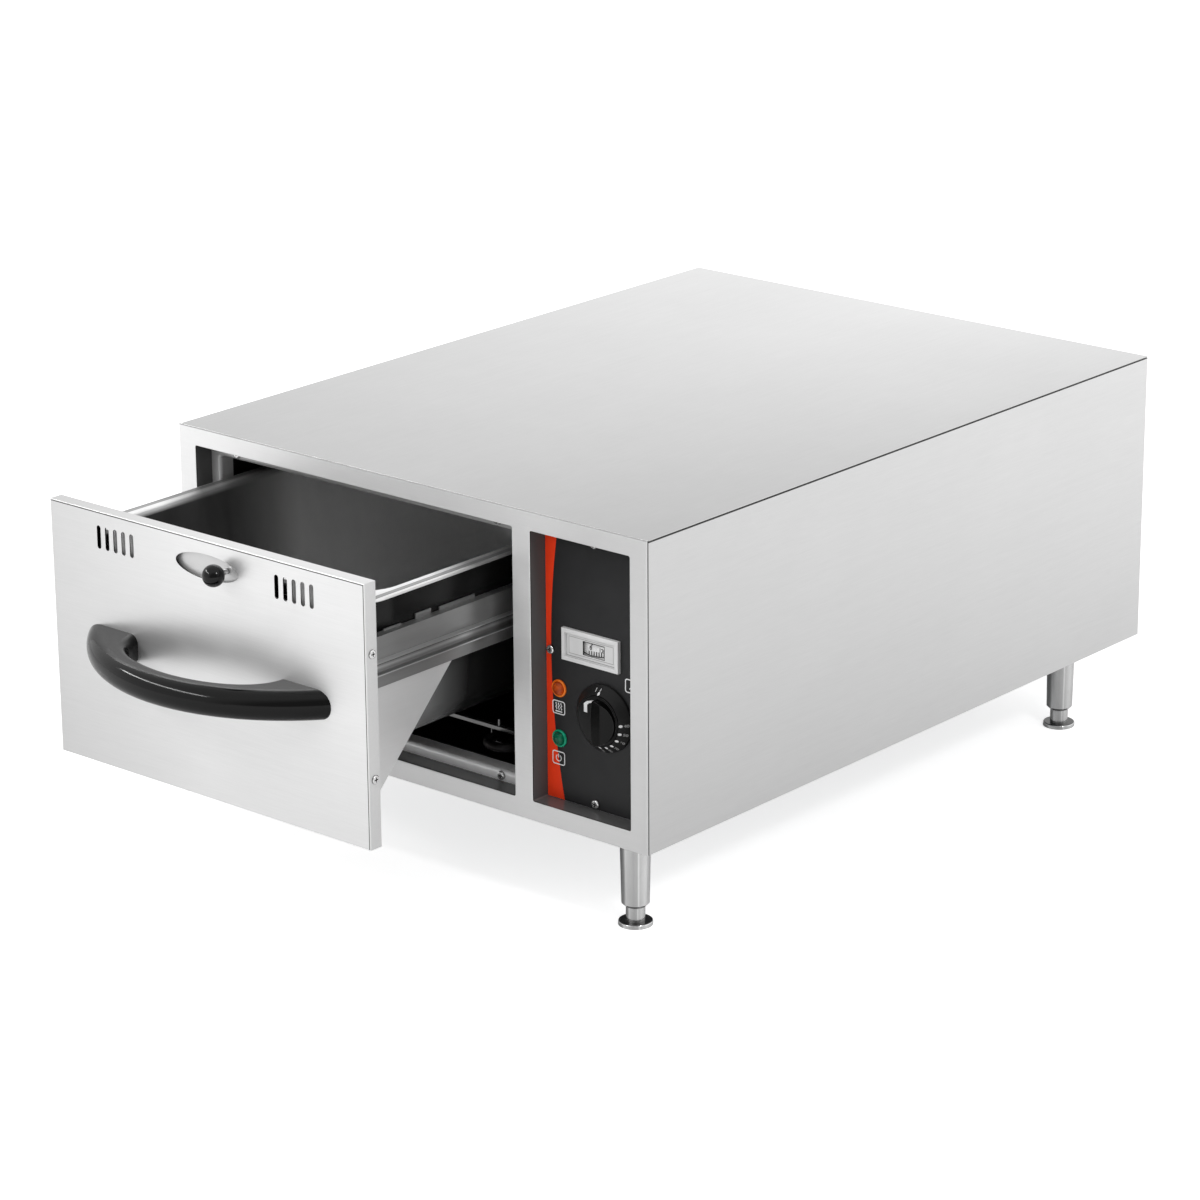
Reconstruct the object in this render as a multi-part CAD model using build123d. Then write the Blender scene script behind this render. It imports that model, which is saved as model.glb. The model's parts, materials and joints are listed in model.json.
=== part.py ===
from build123d import *
import math
import os

# Warming drawer: a low insulated cabinet with one pan drawer and a recessed control panel.
# Millimetres. X runs along the front to the right, Y into the depth, Z up from the floor.
# The origin is under the middle of the whole object as it stands with its drawer partly open.

# Food pan, full size, deep. The cabinet and its drawer are built round it.
pan_width = 325.0
pan_length = 530.0
pan_depth = 141.5

# Cabinet
leg_height = 70.0
panel_sheet = 1.0
frame_sheet = 1.2
seam = 0.5
edge_round = 0.6
frame_flange = 9.0
side_flange = 15.0
rear_flange = 12.0

# Openings in the face of the cabinet
left_margin = 19.3
pan_side_room = 17.65
mullion = 19.0
control_opening_width = 104.1
right_margin = 17.3
bottom_margin = 17.0
under_pan_room = 60.0
over_pan_room = 29.5
top_margin = 16.0
opening_corner = 1.5
return_depth = 19.0

# Warm cavity
cavity_side_room = 8.5
cavity_floor_lip = 8.5
cavity_roof_lip = 10.5
cavity_rear_room = 54.0
trim_overlap = 6.0
trim_lip = 15.0
trim_bend = 3.0
trim_corner = 3.0
trim_screw_inset = 31.65
insulation_gap = 0.3
insulation_floor = 15.0
insulation_rear = 38.0
rear_space = 62.0

# Drawer front
drawer_out = 169.0
side_gap = 2.2
bottom_gap = 3.7
top_gap = 5.8
front_thickness = 12.5
front_sheet = 1.0
inner_flange = 8.0
vent_count = 5
vent_pitch = 9.6
vent_width = 4.5
vent_height = 20.0
vent_group_offset = 101.5
vent_line_drop = 22.2
window_half_length = 35.5
window_half_height = 10.7
window_offset = 4.5
flange_screw_heights = (58.2, 162.5)
flange_screw_setback = 7.0

# Vent shutter
shutter_height = 31.0
shutter_sheet = 1.0
shutter_setback = 3.6
shutter_overlap = 1.5
shutter_window = 36.0
slots_left_open = 2
shutter_play = 0.4
guide_end_gap = 17.95
guide_lip = 3.0
stem_offset = 24.0
stem_radius = 2.5
knob_radius = 9.2
knob_standoff = 12.0

# Handle
handle_half_span = 138.5
handle_reach = 67.0
handle_height = 25.5
handle_line_height = 110.5
grip_gap_half_width = 80.0
grip_gap_depth = 43.5
handle_outer_round = 12.0
handle_inner_round = 8.0
handle_bolt_offset = 112.0
handle_bolt_depth = 12.0
handle_bolt_radius = 2.5

# Drawer frame and rails
pan_overhang = 6.5
frame_tail = 56.0
frame_side_height = 42.5
frame_side_drop = 34.0
frame_top_flange = 6.8
tab_setbacks = (51.0, 88.0, 116.0, 430.0)
tab_lengths = (20.0, 18.0, 42.0, 42.0)
tab_heights = (1.2, 4.5, 3.0, 3.0)
gusset_low_rise = 31.0
gusset_reach = 112.0
gusset_flange = 15.0
rail_sheet = 1.2
rail_height = 11.2
rail_drop = 58.7
rail_depth = 6.0
rail_clearance = 0.8
rail_groove_round = 1.5
fixed_rail_start = 36.0
fixed_rail_end_gap = 24.0
roller_clearance = 0.3
roller_edge = 0.6
front_roller_setback = 44.0
rear_roller_inset = 10.0
pin_radius = 1.6
pin_clearance = 0.06
pin_head_radius = 2.6
pin_head_thickness = 0.5

# Food pan's sheet and rim
pan_sheet = 1.0
pan_rim_width = 12.5
pan_rim_sheet = 1.2
pan_rim_corner = 25.0
pan_bead_width = 2.6
pan_bead_drop = 1.8
pan_bead_round = 1.1
pan_body_corner = 40.0
pan_bottom_share = 0.92
pan_mouth_round = 2.0
pan_taper = 5.0
pan_front_gap = 1.5
rest_ledge = 7.3
rest_step = 4.0

# Heating element
element_radius = 4.0
element_rise = 41.0
element_wall_gap = 23.5
element_loop_width = 30.0
element_front_setback = 28.0
element_rear_gap = 80.0
element_bend = 14.0
element_tail = 18.0
terminal_radius = 1.5
terminal_length = 10.0
bridge_rise = 50.6
bridge_width = 5.0
bridge_height = 3.0
bridge_front_setback = 47.5
bridge_middle_setback = 300.0
bridge_rear_gap = 120.0
clip_wire = 0.8
clip_gap = 0.1
clip_bend = 2.5
clip_stud_gap = 3.5
clip_stud_radius = 1.3
clip_stud_height = 6.0
bushing_radius = 7.0
bushing_length = 16.0

# Control panel
panel_overlap = 5.0
overlay_thickness = 0.4
overlay_gap = 0.3
control_knob_inset = 41.7
control_knob_rise = 98.5
dial_radius = 28.6
dial_rim = 2.3
dial_thickness = 9.0
dial_wall = 0.7
dial_floor = 2.0
knob_hub_radius = 21.0
knob_hub_proud = 0.6
knob_shaft_socket = 3.0
knob_grip_radius = 19.0
knob_grip_height = 7.0
knob_bar_width = 8.0
knob_grip_slope = 4.5
knob_grip_bulge = 1.8
turning_gap = 0.3
shaft_radius = 3.0
shaft_clearance = 0.1
thermostat_width = 46.0
thermostat_height = 40.0
thermostat_depth = 34.0
lamp_inset = 13.9
lamp_rises = (70.0, 113.0)
lamp_radius = 7.5
lamp_base = 1.5
lamp_dome = 3.2
lamp_top_radius = 4.9
lamp_body_radius = 5.2
lamp_body_length = 26.0
lamp_nut_radius = 7.5
lamp_nut_thickness = 4.0
control_screw_side_rise = 144.5
control_screw_side_inset = 5.3
control_screw_end_inset = 5.0

# Thermometer
gauge_inset = 48.9
gauge_rise = 153.5
gauge_width = 59.6
gauge_height = 27.2
gauge_thickness = 3.5
gauge_rim = 3.6
gauge_face_setback = 2.2
gauge_face_sheet = 1.0
gauge_window_left = 21.5
gauge_window_width = 22.4
gauge_window_height = 11.4
gauge_body_margin = 1.8
gauge_body_depth = 30.0
gauge_lens_thickness = 0.4
gauge_card_thickness = 0.3
needle_thickness = 0.3
needle_width = 0.8
needle_length = 10.5
needle_hub_radius = 1.6
needle_pin_radius = 0.5
needle_lift = 9.0
needle_rest_angle = 35.0

# Sensing bulbs
bulb_radius = 3.0
bulb_length = 90.0
bulb_wall_gap = 4.0
bulb_bend = 6.0
capillary_radius = 0.8
capillary_bend = 10.0
capillary_hole_radius = 2.0
thermostat_bulb_drop = 13.5
thermometer_bulb_drop = 23.5
thermostat_crossing = 150.0
thermometer_crossing = 180.0
bulb_start = 240.0

# Screws
screw_head_radius = 3.8
screw_head_height = 2.2
screw_shank_radius = 2.0
screw_length = 8.0
screw_clearance = 0.1
screw_cross_width = 0.9
screw_cross_depth = 1.2
flange_screw_head_height = 1.3

# Rear
gland_inset = 60.0
gland_rise = 45.0
gland_bore_radius = 4.5
gland_thread_radius = 8.0
gland_collar_radius = 12.0
gland_collar_thickness = 4.0
gland_reach = 14.0
gland_inner_length = 16.0
gland_nut_thickness = 5.0
rear_screw_rises = (40.0, 132.0, 224.0)
rear_screw_inset = 7.0
rear_vent_rows = 8
rear_vent_pitch = 14.0
rear_vent_length = 60.0
rear_vent_height = 5.0
rear_vent_rise = 150.0
rear_vent_inset = 70.0

# Terminal block and wires
terminal_setback = 430.0
terminal_lift = 14.0
terminal_width = 20.0
terminal_length_along = 60.0
terminal_height = 22.0
terminal_ways = 3
screw_well = 10.0
screw_well_depth = 4.0
wire_levels = (0.25, 0.75)
wire_radius = 1.6
wire_straight = 40.0
wire_bend = 30.0
wire_corner_bend = 12.0
wire_end_bend = 8.0

# Legs
leg_side_inset = 26.0
leg_front_setback = 16.0
leg_rear_gap = 86.0
leg_top_radius = 12.6
leg_bottom_radius = 11.5
leg_tube_length = 54.0
leg_shoulder = 3.0
foot_stem_radius = 8.0
foot_stem_clearance = 0.1
foot_flange_radius = 14.3
foot_flange_thickness = 3.8
foot_flange_round = 1.2
foot_engagement = 26.0
leg_bore_depth = 42.0
stud_radius = 4.0
stud_clearance = 0.5
stud_end = 1.0
nut_radius = 7.0
nut_height = 6.5

# Sizes that follow from the pan and the room left round it
drawer_opening_width = pan_width + 2 * pan_side_room
cabinet_width = (left_margin + drawer_opening_width + mullion + control_opening_width
                 + right_margin)
opening_height = under_pan_room + pan_depth + over_pan_room
body_height = bottom_margin + opening_height + top_margin
drawer_frame_length = pan_length + frame_tail
cavity_depth = drawer_frame_length + cavity_rear_room
cabinet_depth = cavity_depth + rear_space
cavity_half = pan_width / 2 + cavity_side_room
frame_half = pan_width / 2 - pan_overhang
element_loop_outer = cavity_half - element_wall_gap
element_loop_inner = element_loop_outer - element_loop_width

# Places worked out from the sizes
left = -cabinet_width / 2
right = cabinet_width / 2
base = leg_height
top = base + body_height
front = (drawer_out + handle_reach - cabinet_depth - gland_reach) / 2
back = front + cabinet_depth
face = front - drawer_out
drawer_left = left + left_margin
drawer_right = drawer_left + drawer_opening_width
drawer_x = (drawer_left + drawer_right) / 2
control_left = drawer_right + mullion
control_right = control_left + control_opening_width
opening_low = base + bottom_margin
opening_high = opening_low + opening_height
cavity_floor = opening_low + cavity_floor_lip
cavity_roof = opening_high - cavity_roof_lip
trim_front = front + return_depth
liner_front = trim_front + trim_bend
liner_back = front + cavity_depth
control_plane = front + return_depth
control_back = control_plane + frame_sheet
overlay_front = control_plane - overlay_thickness
divider_x = (drawer_right + control_left) / 2
panel_half = drawer_opening_width / 2 - side_gap
panel_low = opening_low + bottom_gap
panel_high = opening_high - top_gap
front_back = face + front_thickness
guide_half = panel_half - guide_end_gap
vent_z = panel_high - vent_line_drop
handle_z = panel_low + handle_line_height
pan_rim_top = opening_high - over_pan_room
pan_rim_under = pan_rim_top - pan_rim_sheet
rail_z = pan_rim_top - rail_drop
side_high = pan_rim_top - frame_side_drop
side_low = side_high - frame_side_height
side_start = front_back + pan_front_gap
fixed_web_face = cavity_half - rail_sheet
drawer_rail_tip = frame_half + rail_depth
fixed_rail_tip = drawer_rail_tip + rail_clearance
roller_radius = rail_height / 2 - rail_sheet - roller_clearance
pan_front = front_back + pan_front_gap
pan_back = pan_front + pan_length
control_knob_x = control_right - control_knob_inset
lamp_x = control_left + lamp_inset
gauge_x = control_left + gauge_inset
gland_x = right - gland_inset
rear_vent_x = right - rear_vent_inset
knob_z = base + control_knob_rise
gauge_z = base + gauge_rise
element_z = base + element_rise
bridge_top = base + bridge_rise
tube_bottom = base - leg_tube_length
pan_bottom_corner = pan_body_corner - pan_depth * math.tan(math.radians(pan_taper))
pan_bottom_round = pan_bottom_share * pan_bottom_corner


def block(x0, x1, y0, y1, z0, z1):
    """A rectangular solid between two opposite corners."""
    return Pos((x0 + x1) / 2, (y0 + y1) / 2, (z0 + z1) / 2) * Box(x1 - x0, y1 - y0, z1 - z0)


def side_block(side, x0, x1, y0, y1, z0, z1):
    """A block given by its distances from the drawer's middle plane, on one side of it."""
    low, high = sorted((drawer_x + side * x0, drawer_x + side * x1))
    return block(low, high, y0, y1, z0, z1)


def wall_block(side, x0, x1, y0, y1, z0, z1):
    """A block given by its distances inwards from the cabinet's left or right side."""
    low, high = sorted((side * (right - x0), side * (right - x1)))
    return block(low, high, y0, y1, z0, z1)


def rounded_block(x0, x1, y0, y1, z0, z1, radius):
    """A block whose four edges along Y are rounded."""
    solid = block(x0, x1, y0, y1, z0, z1)
    return fillet(solid.edges().filter_by(Axis.Y), radius)


def rod_x(x0, x1, y, z, radius):
    """A round bar along X."""
    return Pos((x0 + x1) / 2, y, z) * Rot(0, 90, 0) * Cylinder(radius, abs(x1 - x0))


def rod_y(x, y0, y1, z, radius):
    """A round bar along Y."""
    return Pos(x, (y0 + y1) / 2, z) * Rot(90, 0, 0) * Cylinder(radius, y1 - y0)


def rod_z(x, y, z0, z1, radius):
    """A round bar along Z."""
    return Pos(x, y, (z0 + z1) / 2) * Cylinder(radius, z1 - z0)


def upright_slot(x, y0, y1, z, width, height):
    """A round-ended upright slot, as a cutter along Y."""
    straight = (height - width) / 2
    cutter = block(x - width / 2, x + width / 2, y0, y1, z - straight, z + straight)
    for end in (-straight, straight):
        cutter += rod_y(x, y0, y1, z + end, width / 2)
    return cutter


def tube_along(points, radius, bend):
    """A round wire or tube through the points, with tangent arcs at the corners."""
    path = FilletPolyline(*points, radius=bend)
    section = Plane(origin=path @ 0, z_dir=path % 0) * Circle(radius)
    return sweep(section, path=path)


def cross_screw(length, head_height):
    """A pan-head screw with a cross recess. Its head is above the XY plane."""
    head = Pos(0, 0, head_height / 2) * Cylinder(screw_head_radius, head_height)
    head = fillet(head.edges().group_by(Axis.Z)[-1], head_height * 0.6)
    shank = Pos(0, 0, -length / 2) * Cylinder(screw_shank_radius, length)
    screw = head + shank
    arm = screw_head_radius * 1.1
    for turn in (0, 90):
        recess = Box(arm, screw_cross_width, 2 * screw_cross_depth)
        screw -= Pos(0, 0, head_height) * Rot(0, 0, turn) * recess
    return screw


def screws_at(places, turn, length, head_height):
    """Equal screws at several places, turned to face their way."""
    screws = []
    for place in places:
        screws.append(Pos(*place) * Rot(*turn) * cross_screw(length, head_height))
    return Compound(screws)


def save(name, shape):
    """Write one named piece."""
    shape.label = name
    export_step(shape, f"parts/{name}.step")


# Places shared by screws and their holes

def trim_screw_places():
    low = (opening_low + cavity_floor + frame_sheet) / 2
    high = (opening_high + cavity_roof - frame_sheet) / 2
    places = []
    for x in (drawer_left + trim_screw_inset, drawer_right - trim_screw_inset):
        for z in (low, high):
            places.append((x, trim_front, z))
    return places


def control_screw_places():
    side_z = base + control_screw_side_rise
    middle = (control_left + control_right) / 2
    return [
        (control_left + control_screw_side_inset, overlay_front, side_z),
        (control_right - control_screw_side_inset, overlay_front, side_z),
        (middle, overlay_front, opening_low + control_screw_end_inset),
        (middle, overlay_front, opening_high - control_screw_end_inset),
    ]


def rear_screw_places():
    places = []
    for x in (left + rear_screw_inset, right - rear_screw_inset):
        for rise in rear_screw_rises:
            places.append((x, back, base + rise))
    return places


def leg_places():
    places = []
    for y in (front + leg_front_setback, back - leg_rear_gap):
        for x in (left + leg_side_inset, right - leg_side_inset):
            places.append((x, y))
    return places


def vent_places():
    places = []
    for group in (-vent_group_offset, vent_group_offset):
        for index in range(vent_count):
            step = (index - (vent_count - 1) / 2) * vent_pitch
            places.append(drawer_x + group + step)
    return places


# Outer cabinet

def make_front_frame():
    plate = block(left, right, front, front + frame_sheet, base, top)
    rim_outer = block(left + panel_sheet, right - panel_sheet, front, front + frame_flange,
                      base + panel_sheet, top - panel_sheet)
    inset = panel_sheet + frame_sheet
    rim_inner = block(left + inset, right - inset, front, front + frame_flange + 1,
                      base + inset, top - inset)
    frame = plate + (rim_outer - rim_inner)
    openings = ((drawer_left, drawer_right), (control_left, control_right))
    wall = frame_sheet
    for x0, x1 in openings:
        frame += rounded_block(x0 - wall, x1 + wall, front, front + return_depth,
                               opening_low - wall, opening_high + wall, opening_corner + wall)
    for x0, x1 in openings:
        frame -= rounded_block(x0, x1, front - 1, front + return_depth + 1,
                               opening_low, opening_high, opening_corner)
    return fillet(frame.edges().group_by(Axis.Y)[0], edge_round)


def make_top_panel():
    sheet = block(left, right, front + frame_sheet + seam, back, top - panel_sheet, top)
    sheet = fillet(sheet.edges().group_by(Axis.Z)[-1], edge_round)
    start = front + frame_flange + seam
    end = back - 2 * panel_sheet - seam
    low = top - panel_sheet - rear_flange
    for side in (-1, 1):
        sheet += wall_block(side, panel_sheet, 2 * panel_sheet, start, end, low,
                            top - panel_sheet)
    return sheet


def make_side_panel(side):
    """One side with its bottom and rear flanges turned inwards."""
    start = front + frame_sheet + seam
    end = back - panel_sheet
    high = top - panel_sheet - seam
    panel = wall_block(side, 0, panel_sheet, start, end, base, high)
    panel += wall_block(side, panel_sheet, panel_sheet + side_flange,
                        front + frame_flange + seam, end,
                        base + panel_sheet, base + 2 * panel_sheet)
    panel += wall_block(side, panel_sheet, panel_sheet + rear_flange, end - panel_sheet, end,
                        base + panel_sheet, high - panel_sheet)
    for place in rear_screw_places():
        panel -= rod_y(place[0], end - 2 * panel_sheet, end + 1, place[2],
                       screw_shank_radius + screw_clearance)
    return panel


def make_bottom_panel():
    panel = block(left + panel_sheet, right - panel_sheet, front + frame_sheet + seam,
                  back - panel_sheet, base, base + panel_sheet)
    for x, y in leg_places():
        panel -= rod_z(x, y, base - 1, base + panel_sheet + 1, stud_radius + stud_clearance)
    return panel


def make_rear_panel():
    panel = block(left, right, back - panel_sheet, back, base, top - panel_sheet - seam)
    for place in rear_screw_places():
        panel -= rod_y(place[0], back - 2, back + 1, place[2],
                       screw_shank_radius + screw_clearance)
    panel -= rod_y(gland_x, back - 2, back + 1, base + gland_rise, gland_thread_radius)
    for row in range(rear_vent_rows):
        z = base + rear_vent_rise + (row - (rear_vent_rows - 1) / 2) * rear_vent_pitch
        panel -= block(rear_vent_x - rear_vent_length / 2, rear_vent_x + rear_vent_length / 2,
                       back - 2, back + 1, z - rear_vent_height / 2, z + rear_vent_height / 2)
    return panel


def make_divider_wall():
    low = base + panel_sheet
    wall = block(divider_x, divider_x + panel_sheet, front + frame_flange + seam,
                 back - panel_sheet, low + frame_sheet, top - panel_sheet)
    wall += block(divider_x, divider_x + side_flange, front + frame_flange + seam,
                  back - panel_sheet, low, low + frame_sheet)
    for y, z in capillary_crossings():
        wall -= rod_x(divider_x - 1, divider_x + panel_sheet + 1, y, z, capillary_hole_radius)
    for y, z in wire_crossings():
        wall -= rod_x(divider_x - 1, divider_x + panel_sheet + 1, y, z, 2 * wire_radius)
    return wall


# Warm cavity

def make_cavity_liner():
    """Five sheets welded into a box that is open at the front."""
    sheet = panel_sheet
    x0 = drawer_x - cavity_half
    x1 = drawer_x + cavity_half
    left_wall = block(x0 - sheet, x0, liner_front, liner_back, cavity_floor - sheet,
                      cavity_roof + sheet)
    right_wall = block(x1, x1 + sheet, liner_front, liner_back, cavity_floor - sheet,
                       cavity_roof + sheet)
    for y, z in capillary_crossings():
        right_wall -= rod_x(x1 - 1, x1 + sheet + 1, y, z, capillary_hole_radius)
    floor = block(x0, x1, liner_front, liner_back, cavity_floor - sheet, cavity_floor)
    roof = block(x0, x1, liner_front, liner_back, cavity_roof, cavity_roof + sheet)
    rear = block(x0 - sheet, x1 + sheet, liner_back, liner_back + sheet,
                 cavity_floor - sheet, cavity_roof + sheet)
    for x in element_ends():
        rear -= rod_y(x, liner_back - 1, liner_back + sheet + 1, element_z, bushing_radius)
    return Compound([left_wall, right_wall, floor, roof, rear])


def make_cavity_front_trim():
    """The recessed flange round the cavity mouth, with a rounded lip that turns inwards."""
    sheet = frame_sheet
    bounds = (drawer_left - trim_overlap, drawer_right + trim_overlap)
    low = opening_low - trim_overlap
    high = opening_high + trim_overlap
    end = trim_front + trim_lip
    mouth = (drawer_x - cavity_half, drawer_x + cavity_half)
    outside = block(bounds[0], bounds[1], trim_front, end, low, high)
    hole = rounded_block(mouth[0] + sheet, mouth[1] - sheet, trim_front - 1, end + 1,
                         cavity_floor + sheet, cavity_roof - sheet, trim_corner)
    trim = outside - hole
    trim = fillet(inner_edges(trim, trim_front), trim_bend)
    waste = block(bounds[0] - 1, bounds[1] + 1, trim_front + sheet, end + 1, low - 1, high + 1)
    waste -= rounded_block(mouth[0], mouth[1], trim_front, end + 2,
                           cavity_floor, cavity_roof, trim_corner + sheet)
    waste = fillet(inner_edges(waste, trim_front + sheet), trim_bend - sheet)
    trim -= waste
    for x, y, z in trim_screw_places():
        trim -= rod_y(x, y - 1, y + sheet + 1, z, screw_shank_radius + screw_clearance)
    return trim


def inner_edges(solid, y):
    """The edges of the cavity mouth that lie in one plane across Y."""
    chosen = []
    for edge in solid.edges():
        middle = edge.center()
        inside = abs(middle.X - drawer_x) <= cavity_half + 0.1
        level = cavity_floor - 0.1 <= middle.Z <= cavity_roof + 0.1
        if inside and level and abs(middle.Y - y) < 0.01:
            chosen.append(edge)
    return chosen


def make_insulation():
    """Slabs of mineral wool on five sides of the cavity, clear of the sheets by a small gap."""
    gap = insulation_gap
    x0 = drawer_x - cavity_half - panel_sheet
    x1 = drawer_x + cavity_half + panel_sheet
    low = cavity_floor - panel_sheet
    high = cavity_roof + panel_sheet
    start = trim_front + trim_lip
    end = liner_back
    wall_inner = left + 2 * panel_sheet + gap
    roof_slab = block(wall_inner, divider_x - gap, start, end, high + gap,
                      top - panel_sheet - frame_sheet - gap)
    floor_slab = block(x0, x1, start, end, low - gap - insulation_floor, low - gap)
    side_low = low - insulation_floor
    left_slab = block(wall_inner, x0 - gap, start, end, side_low, high)
    right_slab = block(x1 + gap, divider_x - gap, start, end, side_low, high)
    for y, z in capillary_crossings():
        right_slab -= rod_x(x1, divider_x, y, z, capillary_hole_radius)
    rear_start = liner_back + panel_sheet + gap
    rear_slab = block(x0, x1, rear_start, rear_start + insulation_rear, low, high)
    for x in element_ends():
        rear_slab -= rod_y(x, rear_start - 1, rear_start + insulation_rear + 1, element_z,
                           bushing_radius + gap)
    return Compound([roof_slab, floor_slab, left_slab, right_slab, rear_slab])


# Heating element

def element_ends():
    return (drawer_x - element_loop_outer, drawer_x + element_loop_outer)


def make_heating_element():
    """One sheathed tube with a narrow loop along each side, its ends through the rear wall."""
    near = front + element_front_setback
    far = liner_back - element_rear_gap
    tail = liner_back + element_tail
    left_end, right_end = element_ends()
    left_turn = drawer_x - element_loop_inner
    right_turn = drawer_x + element_loop_inner
    points = [(left_end, tail), (left_end, near), (left_turn, near), (left_turn, far),
              (right_turn, far), (right_turn, near), (right_end, near), (right_end, tail)]
    tube = tube_along([(x, y, element_z) for x, y in points], element_radius, element_bend)
    for x in element_ends():
        tube += rod_y(x, tail, tail + terminal_length, element_z, terminal_radius)
    return tube


def make_element_bushings():
    bushings = []
    for x in element_ends():
        start = liner_back - bushing_length / 3
        bushing = rod_y(x, start, start + bushing_length, element_z, bushing_radius)
        bushing -= rod_y(x, start - 1, start + bushing_length + 1, element_z, element_radius)
        bushings.append(bushing)
    return Compound(bushings)


def make_element_bridges():
    """Cross bars that stand on the cavity floor, with wire hangers that hold the element."""
    half = cavity_half
    stud = element_loop_inner + clip_stud_gap
    pieces = []
    lines = (front + bridge_front_setback, front + bridge_middle_setback,
             liner_back - bridge_rear_gap)
    for y in lines:
        y0 = y - bridge_width / 2
        y1 = y + bridge_width / 2
        bridge = side_block(1, -half, half, y0, y1, bridge_top - bridge_height, bridge_top)
        for side in (-1, 1):
            bridge += rod_z(drawer_x + side * stud, y, bridge_top,
                            bridge_top + clip_stud_height, clip_stud_radius)
            pieces.append(side_block(side, half - frame_sheet, half, y0, y1, cavity_floor,
                                     bridge_top - bridge_height))
            pieces.append(make_element_hanger(side, y))
        pieces.append(bridge)
    return Compound(pieces)


def make_element_hanger(side, y):
    """A wire from the bar's underside round below both runs of one loop."""
    reach = element_radius + clip_gap + clip_wire
    inner = drawer_x + side * (element_loop_inner - reach)
    outer = drawer_x + side * (element_loop_outer + reach)
    low = element_z - reach
    high = bridge_top - bridge_height
    points = [(inner, y, high), (inner, y, low), (outer, y, low), (outer, y, high)]
    return tube_along(points, clip_wire, clip_bend)


# Rails and rollers

def rail_channel(web, tip, y0, y1):
    """A channel rail along Y. Its web starts at one X and its flanges end at the other."""
    inward = math.copysign(rail_sheet, tip - web)
    low = rail_z - rail_height / 2
    high = rail_z + rail_height / 2
    x0, x1 = sorted((web, tip))
    rail = block(x0, x1, y0, y1, low, high)
    g0, g1 = sorted((web + inward, tip + inward))
    groove = block(g0, g1, y0 - 1, y1 + 1, low + rail_sheet, high - rail_sheet)
    corners = groove.edges().filter_by(Axis.Y)
    corners = [edge for edge in corners if abs(edge.center().X - (web + inward)) < 0.01]
    return rail - fillet(corners, rail_groove_round)


def make_fixed_rails():
    rails = []
    start = front + fixed_rail_start
    for side in (-1, 1):
        web = drawer_x + side * cavity_half
        tip = drawer_x + side * fixed_rail_tip
        rails.append(rail_channel(web, tip, start, liner_back - fixed_rail_end_gap))
    return Compound(rails)


def make_drawer_rails():
    rails = []
    for side in (-1, 1):
        web = drawer_x + side * frame_half
        tip = drawer_x + side * drawer_rail_tip
        rails.append(rail_channel(web, tip, side_start, side_start + drawer_frame_length))
    return Compound(rails)


front_roller_span = (frame_half + rail_sheet + 1.2, drawer_rail_tip - 0.2)
rear_roller_span = (fixed_rail_tip + 0.4, fixed_web_face - 1.1)
front_roller_y = front + front_roller_setback
rear_roller_y = side_start + drawer_frame_length - rear_roller_inset


def make_rollers(span, y):
    """Two rollers on one axis line, one at each side."""
    rollers = []
    for side in (-1, 1):
        x0 = drawer_x + side * span[0]
        x1 = drawer_x + side * span[1]
        roller = rod_x(x0, x1, y, rail_z, roller_radius)
        roller = chamfer(roller.edges().filter_by(GeomType.CIRCLE), roller_edge)
        roller -= rod_x(x0 - side, x1 + side, y, rail_z, pin_radius + pin_clearance)
        rollers.append(roller)
    return Compound(rollers)


def make_roller_pins(root, near, far, y):
    """Riveted pins. Each has a collar between its rail's web and the roller, and a head."""
    outward = math.copysign(1, near - root)
    head_start = far + outward * roller_clearance
    stations = (root, near - outward * roller_clearance, head_start,
                head_start + outward * pin_head_thickness)
    radii = (pin_head_radius, pin_radius, pin_head_radius)
    pins = []
    for side in (-1, 1):
        steps = []
        for start, end, radius in zip(stations, stations[1:], radii):
            steps.append(rod_x(drawer_x + side * start, drawer_x + side * end, y, rail_z, radius))
        pins.append(steps[0] + steps[1:])
    return Compound(pins)


# Control panel

def gauge_cutout(y0, y1, play):
    margin = gauge_body_margin - play
    return block(gauge_x - gauge_width / 2 + margin, gauge_x + gauge_width / 2 - margin,
                 y0, y1, gauge_z - gauge_height / 2 + margin, gauge_z + gauge_height / 2 - margin)


def control_holes(y0, y1):
    """Cutters for everything that passes through the control panel and its overlay."""
    cutters = [rod_y(control_knob_x, y0, y1, knob_z, shaft_radius + 1)]
    for rise in lamp_rises:
        cutters.append(rod_y(lamp_x, y0, y1, base + rise, lamp_body_radius))
    for x, _, z in control_screw_places():
        cutters.append(rod_y(x, y0, y1, z, screw_shank_radius + screw_clearance))
    cutters.append(gauge_cutout(y0, y1, screw_clearance))
    return cutters


def make_control_panel():
    plate = block(control_left - panel_overlap, control_right + panel_overlap,
                  control_plane, control_back,
                  opening_low - panel_overlap, opening_high + panel_overlap)
    for cutter in control_holes(control_plane - 1, control_back + 1):
        plate -= cutter
    return plate


def make_control_overlay():
    gap = overlay_gap
    film = rounded_block(control_left + gap, control_right - gap, overlay_front, control_plane,
                         opening_low + gap, opening_high - gap, opening_corner)
    for cutter in control_holes(overlay_front - 1, control_plane + 1):
        film -= cutter
    return film


def make_thermostat_body():
    half = thermostat_width / 2
    tall = thermostat_height / 2
    body = block(control_knob_x - half, control_knob_x + half, control_back,
                 control_back + thermostat_depth, knob_z - tall, knob_z + tall)
    return body - rod_y(control_knob_x, control_back - 1, control_back + thermostat_depth / 2,
                        knob_z, shaft_radius + shaft_clearance)


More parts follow.
